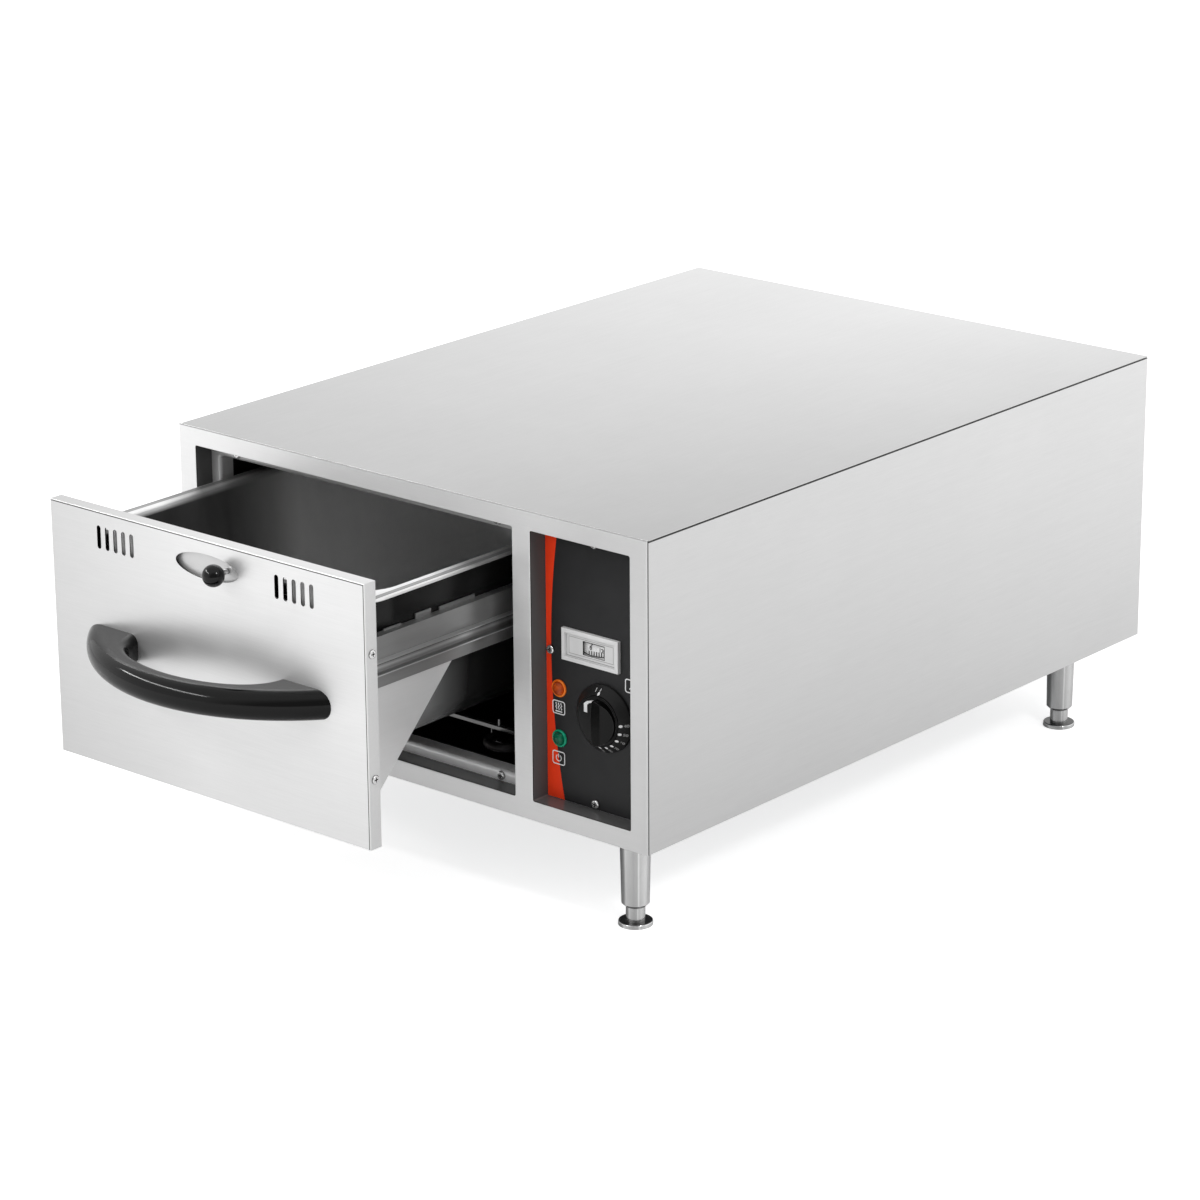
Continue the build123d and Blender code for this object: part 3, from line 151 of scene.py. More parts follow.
# Camera and lights
lens_length = 126.354
film_width = 36.0
camera_place = Vector((2.2612, -2.6315, 1.3361))
camera_azimuth = 40.59
camera_elevation = 18.61
camera_roll = -0.41
ambient = 0.86
mirror_level = 0.97
dim_azimuth = 50.0
dim_level = 0.3
dim_start = 0.55
dim_end = 0.85
front_lamp_way = (-0.551, -0.628, 0.531)
front_lamp_power = 35.0
front_lamp_size = (3.0, 0.14)
side_lamp_way = (0.748, -0.177, 0.628)
side_lamp_power = 15.0
side_lamp_size = (0.4, 0.4)
lamp_distance = 3.0
lamp_aim = Vector((0.0, 0.0, 0.2))
floor_size = 16.0
floor_seen_lift = 0.68
floor_mirror_lift = 0.42
floor_mirror_tone = 0.66
floor_dim_start = 0.36
floor_dim_end = 1.1


# Node building

class Nodes:
    """A node tree, with one short method for each kind of node."""

    def __init__(self, tree):
        self.tree = tree

    def node(self, kind, **settings):
        made = self.tree.nodes.new(kind)
        for key, value in settings.items():
            setattr(made, key, value)
        return made

    def put(self, target, value):
        """Link an output, or write a plain value, to an input socket."""
        if isinstance(value, bpy.types.NodeSocket):
            self.tree.links.new(value, target)
        else:
            target.default_value = value

    def fit(self, value, low, high, to_low, to_high):
        made = self.node("ShaderNodeMapRange")
        self.put(made.inputs["Value"], value)
        for socket, number in zip(("From Min", "From Max", "To Min", "To Max"),
                                  (low, high, to_low, to_high)):
            self.put(made.inputs[socket], number)
        return made.outputs["Result"]

    def maths(self, operation, first, second=0.0):
        made = self.node("ShaderNodeMath", operation=operation)
        self.put(made.inputs[0], first)
        self.put(made.inputs[1], second)
        return made.outputs[0]

    def plus(self, first, second):
        return self.maths("ADD", first, second)

    def minus(self, first, second):
        return self.maths("SUBTRACT", first, second)

    def times(self, first, second):
        return self.maths("MULTIPLY", first, second)

    def larger(self, first, second):
        return self.maths("MAXIMUM", first, second)

    def smaller(self, first, second):
        return self.maths("MINIMUM", first, second)

    def without_sign(self, value):
        return self.maths("ABSOLUTE", value)

    def levels(self, factor, first, second):
        """A blend of two plain numbers."""
        made = self.node("ShaderNodeMix")
        self.put(made.inputs[0], factor)
        self.put(made.inputs[2], first)
        self.put(made.inputs[3], second)
        return made.outputs[0]

    def colours(self, factor, first, second, **settings):
        """A blend of two colours."""
        made = self.node("ShaderNodeMix", data_type="RGBA", **settings)
        self.put(made.inputs[0], factor)
        self.put(made.inputs[6], first)
        self.put(made.inputs[7], second)
        return made.outputs[2]

    def dot(self, first, second):
        made = self.node("ShaderNodeVectorMath", operation="DOT_PRODUCT")
        self.put(made.inputs[0], first)
        self.put(made.inputs[1], second)
        return made.outputs["Value"]


class Shade(Nodes):
    """A material's nodes, with masks for its places, directions, lines and corners."""

    def __init__(self, name):
        self.material = bpy.data.materials.new(name)
        self.material.use_nodes = True
        super().__init__(self.material.node_tree)
        self.shader = self.tree.nodes["Principled BSDF"]
        self.places = self.node("ShaderNodeTexCoord").outputs

    def noise(self, scale, detail=3.0, roughness=0.55):
        mapping = self.node("ShaderNodeMapping")
        self.put(mapping.inputs["Scale"], scale)
        self.put(mapping.inputs["Vector"], self.places["Object"])
        made = self.node("ShaderNodeTexNoise")
        self.put(made.inputs["Scale"], 1.0)
        self.put(made.inputs["Detail"], detail)
        self.put(made.inputs["Roughness"], roughness)
        self.put(made.inputs["Vector"], mapping.outputs["Vector"])
        return made.outputs["Fac"]

    def cells(self, scale):
        made = self.node("ShaderNodeTexVoronoi")
        self.put(made.inputs["Scale"], scale)
        self.put(made.inputs["Vector"], self.places["Object"])
        return made.outputs["Color"]

    def axis(self, output, index):
        made = self.node("ShaderNodeSeparateXYZ")
        self.put(made.inputs[0], self.places[output])
        return made.outputs[index]

    def at(self, index):
        """A point's place along one axis."""
        return self.axis("Object", index)

    def facing(self, index):
        """How much a surface looks along one axis, from minus one to one."""
        return self.axis("Normal", index)

    def ramp(self, value, stops):
        """A run of grey tones, each a place from nought to one and its level."""
        made = self.node("ShaderNodeValToRGB")
        points = made.color_ramp.elements
        while len(points) < len(stops):
            points.new(0.5)
        for point, (place, level) in zip(points, stops):
            point.position = place
            point.color = grey(level)
        self.put(made.inputs["Fac"], value)
        return made.outputs["Color"]

    def inset(self, low, high, first, second):
        """How far a point lies inside the outline of a box, seen along its third axis."""
        nearest = None
        for index in (first, second):
            place = self.at(index)
            for gap in (self.minus(place, low[index]), self.minus(high[index], place)):
                nearest = gap if nearest is None else self.smaller(nearest, gap)
        return nearest

    def line(self, distance, middle, width):
        """One on a line at a set distance, and nought away from it."""
        off = self.without_sign(self.minus(distance, middle))
        return self.fit(off, 0.4 * width, 0.6 * width, 1.0, 0.0)

    def turned_to(self, index, least=0.5):
        """One on faces that look along an axis, either way."""
        facing = self.without_sign(self.facing(index))
        return self.fit(facing, least - 0.15, least + 0.15, 0.0, 1.0)

    def corners(self, radius):
        """One where a surface turns a sharp corner, and nought on open faces."""
        bevel = self.node("ShaderNodeBevel", samples=6)
        self.put(bevel.inputs["Radius"], radius)
        flat = self.node("ShaderNodeNewGeometry")
        turn = self.dot(bevel.outputs["Normal"], flat.outputs["Normal"])
        return self.fit(turn, 0.80, 0.97, 1.0, 0.0)

    def dimmed(self, level, colour):
        return self.colours(level, grey(0.0), colour)

    def relief(self, height, depth, strength, edge=0.0):
        """Bump from a height, over edges rounded by a small radius."""
        bump = self.node("ShaderNodeBump")
        self.put(bump.inputs["Distance"], depth)
        self.put(bump.inputs["Strength"], strength)
        self.put(bump.inputs["Height"], height)
        if edge:
            bevel = self.node("ShaderNodeBevel", samples=4)
            self.put(bevel.inputs["Radius"], edge)
            self.put(bump.inputs["Normal"], bevel.outputs["Normal"])
        self.put(self.shader.inputs["Normal"], bump.outputs["Normal"])

    def finish(self, colour, roughness, **fixed):
        self.put(self.shader.inputs["Base Color"], colour)
        self.put(self.shader.inputs["Roughness"], roughness)
        for key, value in fixed.items():
            label = key.replace("_", " ").title().replace("Ior", "IOR")
            self.shader.inputs[label].default_value = value
        return self.material


def grey(level, tint=0.0):
    """A neutral tone, a little cooler where tint is above nought."""
    return (level * (1 - tint), level, level * (1 + tint), 1.0)


def stretched(axis, across, along):
    scale = [across, across, across]
    scale[axis] = along
    return scale


# Metals

def sheet_steel(shade, tone, grain_axis, contrast):
    """The colour of satin sheet: fine grain, soft bands and slow clouding; and its grain."""
    grain_swing = 0.5
    band_swing = 0.3
    cloud_swing = 0.5
    whole_swing = grain_swing + band_swing + cloud_swing
    grain = shade.noise(stretched(grain_axis, across=1300.0, along=40.0), detail=2.0)
    bands = shade.noise(stretched(grain_axis, across=260.0, along=9.0), detail=2.0)
    clouds = shade.noise((5.0, 5.0, 5.0), detail=4.0)
    pattern = shade.plus(shade.fit(grain, 0.3, 0.7, -grain_swing, grain_swing),
                         shade.fit(bands, 0.3, 0.7, -band_swing, band_swing))
    pattern = shade.plus(pattern, shade.fit(clouds, 0.35, 0.65, -cloud_swing, cloud_swing))
    factor = shade.fit(pattern, -whole_swing, whole_swing, 0.0, 1.0)
    spread = whole_swing * contrast
    return shade.colours(factor, grey(tone * (1 - spread)), grey(tone * (1 + spread))), grain


def rubbed(shade, gloss):
    """Roughness with faint rub marks."""
    rubs = shade.noise((38.0, 31.0, 44.0), detail=5.0, roughness=0.7)
    return shade.fit(rubs, 0.3, 0.75, gloss - 0.02, gloss + 0.04)


def satin(shade, colour, grain, gloss, metal):
    """How most sheets' finishes end: the grain in low relief, rub marks and a share of metal."""
    shade.relief(grain, grain_depth, strength=0.25)
    return shade.finish(colour, rubbed(shade, gloss), metallic=metal)


def brushed_steel(name, tone, grain_axis, gloss, contrast=0.03, metal=0.85):
    shade = Shade(name)
    colour, grain = sheet_steel(shade, tone, grain_axis, contrast)
    return satin(shade, colour, grain, gloss, metal)


def opening_edges(shade, low, high, margin):
    """One on the folds and cut edges inside a front sheet's outline, and nought on its face."""
    inner = shade.fit(shade.inset(low, high, X, Z), margin, margin + 2 * mm, 0.0, 1.0)
    return shade.times(inner, shade.fit(shade.turned_to(Y), 0.0, 1.0, 1.0, 0.0))


def cabinet_steel():
    """The outer sheets: painted shade to the front and, on top, to the right; dark painted shade in the
    sides' front and top seams.
    """
    top_front_level = 0.67
    side_front_level = 0.80
    top_right_level = 0.90
    shade = Shade("cabinet_finish")
    colour, grain = sheet_steel(shade, tone=0.84, grain_axis=Y, contrast=0.03)
    # Painted shade: darker to the front, and on the top also darker to the right.
    front_level = shade.fit(shade.turned_to(X), 0.0, 1.0, top_front_level, side_front_level)
    along = shade.fit(shade.at(Y), frame_low.y, cad_box[1].y, front_level, 1.0)
    across = shade.fit(shade.at(X), 0.0, cad_box[1].x, 1.0, top_right_level)
    across = shade.fit(shade.turned_to(Z), 0.0, 1.0, 1.0, across)
    colour = shade.dimmed(shade.times(along, across), colour)
    # Painted shade in the seams, along the side sheets' front and top edges.
    to_front = shade.minus(shade.at(Y), side_low.y)
    to_top = shade.minus(side_high.z, shade.at(Z))
    seam_shade = shade.larger(shade.line(to_front, 0.0, 2 * seam_shade_width), shade.line(to_top, 0.0, 2 * seam_shade_width))
    seam_shade = shade.times(seam_shade, shade.turned_to(X))
    colour = shade.colours(seam_shade, colour, grey(0.04))
    return satin(shade, colour, grain, gloss=0.36, metal=0.85)


def frame_front_steel():
    """The front frame: painted shade to the right, in its top seam and on the folds inside its openings;
    painted highlights on its corners.
    """
    right_level = 0.78
    root_depth = 0.8 * mm
    shade = Shade("front_frame_finish")
    colour, grain = sheet_steel(shade, tone=0.86, grain_axis=X, contrast=0.02)
    # Painted shade, darker to the right.
    across = shade.fit(shade.at(X), overlay_low.x, frame_high.x, 1.0, right_level)
    colour = shade.dimmed(across, colour)
    # Painted shade in the seam along the top edge.
    to_top = shade.minus(frame_high.z, shade.at(Z))
    colour = shade.colours(shade.line(to_top, 0.0, 2 * top_seam_shade), colour, grey(0.30))
    # Painted highlights on the sharp corners.
    colour = shade.colours(shade.corners(0.5 * mm), colour, grey(0.98))
    # Painted shade on the folds inside the openings, lighter on lying folds, near black where they turn
    # from the face.
    fold = opening_edges(shade, frame_low, frame_high, margin=2 * mm)
    lying = shade.turned_to(Z)
    root_shade = shade.fit(shade.at(Y), frame_low.y + root_depth, frame_low.y + 2 * root_depth, 1.0, 0.0)
    shaded = shade.colours(root_shade, shade.colours(lying, grey(0.085), grey(0.14)), grey(0.006))
    colour = shade.colours(fold, colour, shaded)
    rough = shade.fit(fold, 0.0, 1.0, rubbed(shade, 0.40), shade.fit(lying, 0.0, 1.0, 0.65, 0.16))
    metal = shade.fit(fold, 0.0, 1.0, 0.50, shade.fit(lying, 0.0, 1.0, 0.0, 0.06))
    shade.put(shade.shader.inputs["Metallic"], metal)
    shade.relief(grain, grain_depth, strength=0.25)
    return shade.finish(colour, rough, specular_ior_level=0.3)


def drawer_front_steel():
    """The drawer's front: painted shade to the left and on its slots' walls, and a dark line just inside
    its top and right folds.
    """
    left_level = 0.79
    dark_fold_inset = 1.3 * mm
    shade = Shade("drawer_front_finish")
    colour, grain = sheet_steel(shade, tone=0.79, grain_axis=X, contrast=0.03)
    # Painted shade, darker towards the left.
    along = shade.fit(shade.at(X), door_low.x, (door_low.x + door_high.x) / 2, left_level, 1.0)
    colour = shade.dimmed(along, colour)
    # A dark line just inside the top and right folds.
    to_right = shade.minus(door_high.x, shade.at(X))
    to_top = shade.minus(door_high.z, shade.at(Z))
    dark_fold_line = shade.line(shade.smaller(to_right, to_top), dark_fold_inset, fold_line)
    dark_fold_line = shade.times(dark_fold_line, shade.turned_to(Y, 0.3))
    colour = shade.colours(dark_fold_line, colour, grey(0.05))
    # Painted shade on the walls of the slots and openings.
    colour = shade.colours(opening_edges(shade, door_low, door_high, margin=4 * mm), colour, grey(0.02))
    return satin(shade, colour, grain, gloss=0.34, metal=0.75)


def rail_steel():
    """Rolled runners, with painted highlights and shade in bands: a bright roll at mid-height, a dark
    band over it and fine bright edges.
    """
    shade = Shade("rail_finish")
    colour, grain = sheet_steel(shade, tone=0.75, grain_axis=Y, contrast=0.03)
    # Painted highlights and shade in bands up the runner's height.
    height = shade.fit(shade.at(Z), rail_low.z, rail_high.z, 0.0, 1.0)
    painted_light_bands = shade.ramp(height, ((0.0, 0.90), (0.06, 0.85), (0.10, 0.34), (0.28, 0.45), (0.48, 0.85),
                                 (0.62, 0.50), (0.76, 0.10), (0.90, 0.05), (0.94, 0.60), (1.0, 0.75)))
    colour = shade.colours(1.0, colour, painted_light_bands, blend_type="MULTIPLY")
    return satin(shade, colour, grain, gloss=0.30, metal=0.75)


def pan_steel():
    """Deep-drawn polished steel with painted reflections and shade: banded rim, bowl's left wall dark to
    the front, near-black outside.
    """
    rim_drop = 6 * mm
    lip_drop = 2.5 * mm
    lip_width = 12.5 * mm
    wall_reach = 30 * mm
    bend_reach = 50 * mm
    lit_drop = 10 * mm
    covered_lip = 6 * mm
    floor_lean = 0.01
    shade = Shade("pan_finish")
    draw = shade.noise((22.0, 22.0, 6.0), detail=3.0)
    wear = shade.noise((26.0, 21.0, 30.0), detail=5.0, roughness=0.65)
    middle = (pan_low + pan_high) / 2
    turned_out = [shade.times(shade.minus(shade.at(index), middle[index]), shade.facing(index))
                  for index in (X, Y)]
    outward = shade.minus(shade.plus(*turned_out), shade.times(shade.facing(Z), floor_lean))
    outside = shade.fit(outward, -0.002, 0.002, 0.0, 1.0)
    # Painted reflection: light and dark bands across the rim.
    rim = shade.fit(shade.at(Z), pan_high.z - rim_drop, pan_high.z - lip_drop, 0.0, 1.0)
    inward = shade.fit(shade.inset(pan_low, pan_high, X, Y), 0.0, lip_width, 0.0, 1.0)
    lip = shade.ramp(inward, ((0.0, 0.90), (0.14, 0.85), (0.18, 0.12), (0.24, 0.30), (0.50, 0.38),
                              (0.54, 0.10), (0.60, 0.85), (1.0, 0.92)))
    # Painted shade: the bowl's left wall darker to the front.
    depth = shade.fit(shade.at(Y), pan_low.y, pan_high.y, 0.0, 1.0)
    wall_shade = shade.ramp(depth, ((0.0, 0.02), (0.30, 0.03), (0.35, 0.14), (0.40, 0.33), (0.46, 0.80),
                              (0.60, 1.0)))
    left = shade.fit(shade.at(X), pan_low.x + wall_reach, pan_low.x + bend_reach, 1.0, 0.0)
    bowl = shade.colours(left, grey(0.6), wall_shade)
    bowl = shade.colours(shade.fit(draw, 0.3, 0.7, 0.0, 0.12), bowl, grey(0.3))
    # Painted shade on the outside, near black, with a painted lit patch low at the front.
    low = shade.fit(shade.at(Z), rail_low.z - lit_drop, rail_low.z, 1.0, 0.0)
    lit = shade.times(low, shade.fit(depth, 0.15, 0.27, 1.0, 0.0))
    colour = shade.colours(outside, bowl, shade.colours(lit, grey(0.012), grey(0.22)))
    # Painted shade on the rim: darker to the back, near black along the front where the drawer's front
    # covers it.
    lip = shade.colours(shade.fit(depth, 0.16, 0.25, 0.0, 0.8), lip, grey(0.05))
    covered_shade = shade.fit(shade.at(Y), pan_low.y + covered_lip, pan_low.y + covered_lip + mm, 1.0, 0.0)
    colour = shade.colours(rim, colour, shade.colours(covered_shade, lip, grey(0.03)))
    rough = shade.fit(wear, 0.3, 0.75, 0.34, 0.42)
    rough = shade.fit(outside, 0.0, 1.0, rough, 0.25)
    shade.relief(wear, skin_depth, strength=0.2)
    return shade.finish(colour, rough, metallic=0.3, specular_ior_level=0.25)


def plate_steel():
    """The drawer's inner plate, with painted shade on the side that faces the drawer's front."""
    shade = Shade("inner_plate_finish")
    colour, grain = sheet_steel(shade, tone=0.62, grain_axis=Y, contrast=0.02)
    # Painted shade on faces that look to the front.
    shaded = shade.fit(shade.facing(Y), -0.9, 0.5, 1.0, 0.0)
    colour = shade.colours(shaded, colour, grey(0.02))
    return satin(shade, colour, grain, gloss=0.36, metal=0.75)


def trim_steel():
    """The rolled flange round the warm space, with a painted highlight along its lower roll."""
    roll_low = 98 * mm
    roll_high = 108 * mm
    shade = Shade("trim_finish")
    colour, grain = sheet_steel(shade, tone=0.55, grain_axis=X, contrast=0.03)
    # Painted highlight along the lower roll.
    roll_highlight = shade.fit(shade.at(Z), roll_low, roll_high, 1.0, 0.0)
    colour = shade.colours(roll_highlight, colour, grey(0.98))
    return satin(shade, colour, grain, gloss=0.32, metal=0.3)


def leg_steel():
    """Polished tube with upright light and dark streaks painted as reflections, and upward faces painted
    dark.
    """
    shade = Shade("leg_finish")
    wear = shade.noise((130.0, 130.0, 30.0), detail=5.0, roughness=0.7)
    # Light and dark streaks painted by facing direction as reflections.
    shares = [shade.times(shade.facing(index), share) for index, share in ((X, 0.76), (Y, 0.65))]
    across = shade.fit(shade.plus(*shares), -1.0, 1.0, 0.0, 1.0)
    reflection_streaks = shade.ramp(across, ((0.0, 0.30), (0.10, 0.40), (0.16, 0.95), (0.24, 0.75), (0.42, 0.55),
                                  (0.56, 0.60), (0.60, 1.0), (0.65, 0.70), (0.80, 0.92), (1.0, 0.80)))
    reflection_streaks = shade.colours(shade.fit(wear, 0.4, 0.8, 0.0, 0.2), reflection_streaks, grey(0.4))
    # Upward faces painted dark as reflection.
    upward = shade.fit(shade.facing(Z), 0.6, 0.9, 0.0, 1.0)
    colour = shade.colours(upward, reflection_streaks, grey(0.07))
    shade.relief(wear, grain_depth, strength=0.2)
    return shade.finish(colour, shade.fit(wear, 0.3, 0.75, 0.14, 0.24), metallic=0.9)


def galvanised_steel():
    shade = Shade("galvanised_finish")
    spangle = shade.cells(85.0)
    marks = shade.noise((60.0, 60.0, 60.0), detail=4.0)
    tone = shade.colours(shade.fit(spangle, 0.2, 0.8, 0.0, 1.0), grey(0.46, 0.03), grey(0.64, 0.03))
    rough = shade.fit(marks, 0.3, 0.7, 0.34, 0.52)
    shade.relief(marks, spangle_depth, strength=0.3, edge=moulded_edge)
    return shade.finish(tone, rough, metallic=1.0)


def screw_steel():
    """Plated screws, with painted shade in their driving recesses and close round them."""
    recess_reach = 3.0 * mm
    shade = Shade("screw_finish")
    wear = shade.noise((130.0, 130.0, 90.0), detail=5.0, roughness=0.7)
    colour = shade.colours(shade.fit(wear, 0.35, 0.75, 0.0, 1.0), grey(0.88), grey(0.74))
    # Painted shade in the recesses and close round the heads.
    recess_shade = shade.node("ShaderNodeAmbientOcclusion", samples=6)
    shade.put(recess_shade.inputs["Distance"], recess_reach)
    open_share = shade.fit(recess_shade.outputs["AO"], 0.60, 0.95, 0.0, 1.0)
    colour = shade.colours(open_share, grey(0.03), colour)
    shade.relief(wear, grain_depth, strength=0.3, edge=screw_edge)
    return shade.finish(colour, shade.fit(wear, 0.3, 0.75, 0.16, 0.28), metallic=0.9)


def heated_sheath():
    """Nickel alloy tube, darkened to brown and grey where it has been hot."""
    shade = Shade("element_finish")
    heat = shade.noise((11.0, 7.0, 11.0), detail=3.0)
    scale = shade.noise((400.0, 400.0, 400.0), detail=4.0)
    warmth = shade.fit(heat, 0.35, 0.65, 0.0, 1.0)
    colour = shade.colours(warmth, (0.03, 0.026, 0.022, 1), (0.018, 0.018, 0.02, 1))
    shade.relief(scale, scale_depth, strength=0.4)
    return shade.finish(colour, shade.fit(scale, 0.3, 0.7, 0.38, 0.55), metallic=1.0)


def copper():
    shade = Shade("copper_finish")
    tarnish = shade.noise((120.0, 40.0, 120.0), detail=4.0)
    dulled = shade.fit(tarnish, 0.35, 0.7, 0.0, 1.0)
    colour = shade.colours(dulled, (0.78, 0.42, 0.26, 1), (0.42, 0.22, 0.14, 1))
    shade.relief(tarnish, skin_depth, strength=0.3)
    return shade.finish(colour, shade.fit(tarnish, 0.3, 0.7, 0.25, 0.45), metallic=1.0)


# Plastics, film and fibre

def plastic_rubs(shade):
    return shade.noise((80.0, 60.0, 70.0), detail=5.0, roughness=0.7)


def moulded_plastic(name, colour, gloss, grain=900.0, strength=0.3, **fixed):
    """Moulded plastic: slight clouding, fine surface grain and dusty, rubbed patches."""
    shade = Shade(name)
    clouds = shade.noise((30.0, 30.0, 30.0), detail=4.0)
    skin = shade.noise((grain, grain, grain), detail=3.0)
    rubs = plastic_rubs(shade)
    light = tuple(min(1.0, c * 1.08) for c in colour) + (1.0,)
    dark = tuple(c * 0.92 for c in colour) + (1.0,)
    body = shade.colours(shade.fit(clouds, 0.35, 0.65, 0.0, 1.0), dark, light)
    rough = shade.fit(rubs, 0.35, 0.8, gloss, gloss + 0.08)
    shade.relief(skin, skin_depth, strength, moulded_edge)
    return shade.finish(body, rough, **fixed)


def knob_plastic():
    """Black knob: hub a little lighter than the grip's bar; side faces painted near black as shade,
    corners as highlights.
    """
    grip_start = 3 * mm
    grip_end = 2 * mm
    shade = Shade("knob_finish")
    rubs = plastic_rubs(shade)
    facing = shade.without_sign(shade.facing(Y))
    hub_front = dial_low.y - hub_proud
    grip = shade.fit(shade.at(Y), hub_front - grip_start, hub_front - grip_end, 1.0, 0.0)
    bar = shade.fit(facing, 0.94, 0.98, 0.0, 1.0)
    hub = shade.colours(rubs, grey(0.013), grey(0.019))
    colour = shade.colours(grip, hub, shade.colours(bar, grey(0.010), grey(0.002)))
    # Painted shade: faces turned away from the front near black.
    colour = shade.colours(shade.fit(facing, 0.70, 0.85, 0.0, 1.0), grey(0.002), colour)
    # Painted highlights on the sharp corners.
    colour = shade.colours(shade.corners(0.4 * mm), colour, grey(0.10))
    shade.relief(rubs, skin_depth, strength=0.1)
    return shade.finish(colour, shade.fit(rubs, 0.35, 0.8, 0.14, 0.22), specular_ior_level=0.12)


def mineral_wool():
    shade = Shade("wool_finish")
    tufts = shade.noise((70.0, 70.0, 70.0), detail=6.0, roughness=0.7)
    threads = shade.noise(stretched(Y, across=900.0, along=60.0), detail=3.0)
    raised = shade.fit(tufts, 0.3, 0.7, 0.0, 1.0)
    colour = shade.colours(raised, (0.46, 0.40, 0.22, 1), (0.78, 0.72, 0.50, 1))
    shade.relief(shade.plus(tufts, threads), wool_depth, strength=0.8)
    return shade.finish(colour, shade.fit(threads, 0.3, 0.7, 0.85, 0.98))


def lens_plastic(name, deep, bright):
    """Coloured jewel plastic with a slight swirl in its depth."""
    shade = Shade(name)
    swirl = shade.noise((240.0, 240.0, 240.0), detail=3.0)
    colour = shade.colours(shade.fit(swirl, 0.35, 0.65, 0.0, 1.0), deep + (1.0,), bright + (1.0,))
    shade.relief(swirl, scale_depth, strength=0.3)
    return shade.finish(colour, shade.fit(swirl, 0.3, 0.7, 0.06, 0.12), specular_ior_level=0.3)


def bezel_plastic():
    """Light grey moulding, its sunk face a little darker, with two fine dark lines of painted shade round
    its face.
    """
    face_inset = 3.4 * mm
    outer_line = 4.3 * mm
    inner_line = 6.5 * mm
    shade = Shade("bezel_finish")
    clouds = shade.noise((60.0, 60.0, 60.0), detail=4.0)
    rubs = plastic_rubs(shade)
    colour = shade.colours(shade.fit(clouds, 0.35, 0.65, 0.0, 1.0), grey(0.68), grey(0.74))
    inward = shade.inset(gauge_low, gauge_high, X, Z)
    # Two dark lines painted as shade along the sunk edges.
    lines = shade.larger(shade.line(inward, outer_line, 0.6 * mm),
                         shade.line(inward, inner_line, 0.5 * mm))
    face = shade.fit(inward, face_inset, face_inset + 0.4 * mm, 0.0, 0.3)
    colour = shade.colours(face, colour, grey(0.55))
    colour = shade.colours(lines, colour, grey(0.33))
    shade.relief(rubs, skin_depth, strength=0.2, edge=moulded_edge)
    return shade.finish(colour, shade.fit(rubs, 0.35, 0.8, 0.40, 0.48), specular_ior_level=0.3)


def clear_sheet():
    shade = Shade("window_finish")
    smear = shade.noise((90.0, 90.0, 90.0), detail=4.0)
    shade.relief(smear, skin_depth, strength=0.2)
    colour = shade.colours(smear, grey(0.9), grey(1.0))
    return shade.finish(colour, shade.fit(smear, 0.3, 0.7, 0.03, 0.10), alpha=0.06)


def metals():
    return {
        "cabinet_steel": cabinet_steel(),
        "front_frame": frame_front_steel(),
        "front_steel": drawer_front_steel(),
        # The liner painted near black as shade.
        "inner_steel": brushed_steel("liner_painted_shade_finish", tone=0.03, grain_axis=Y, gloss=0.32),
        "frame_steel": brushed_steel("frame_finish", tone=0.62, grain_axis=Y, gloss=0.36,
                                     contrast=0.02, metal=0.75),
        "drawer_sides": brushed_steel("drawer_side_finish", tone=0.34, grain_axis=Y, gloss=0.34,
                                      contrast=0.05, metal=0.75),
        "drawer_rails": rail_steel(),
        "front_gussets": brushed_steel("gusset_finish", tone=0.80, grain_axis=Y, gloss=0.36,
                                       contrast=0.02, metal=0.6),
        "pan_rests": brushed_steel("pan_rest_finish", tone=0.015, grain_axis=Y, gloss=0.36,
                                   contrast=0.05, metal=0.75),
        "drawer_inner_plate": plate_steel(),
        "element_bridges": brushed_steel("bridge_finish", tone=0.22, grain_axis=X, gloss=0.25,
                                         contrast=0.05),
        # The leg nuts painted near black as shade.
        "leg_nuts": brushed_steel("leg_nut_painted_shade_finish", tone=0.05, grain_axis=X, gloss=0.40,
                                  contrast=0.05),
        "cavity_front_trim": trim_steel(),
        "vent_shutter": brushed_steel("shutter_finish", tone=0.62, grain_axis=Y, gloss=0.36,
                                      metal=0.7),
        "pan_steel": pan_steel(),
        "galvanised_steel": galvanised_steel(),
        "screw_steel": screw_steel(),
        "leg_steel": leg_steel(),
        "element_sheath": heated_sheath(),
    }


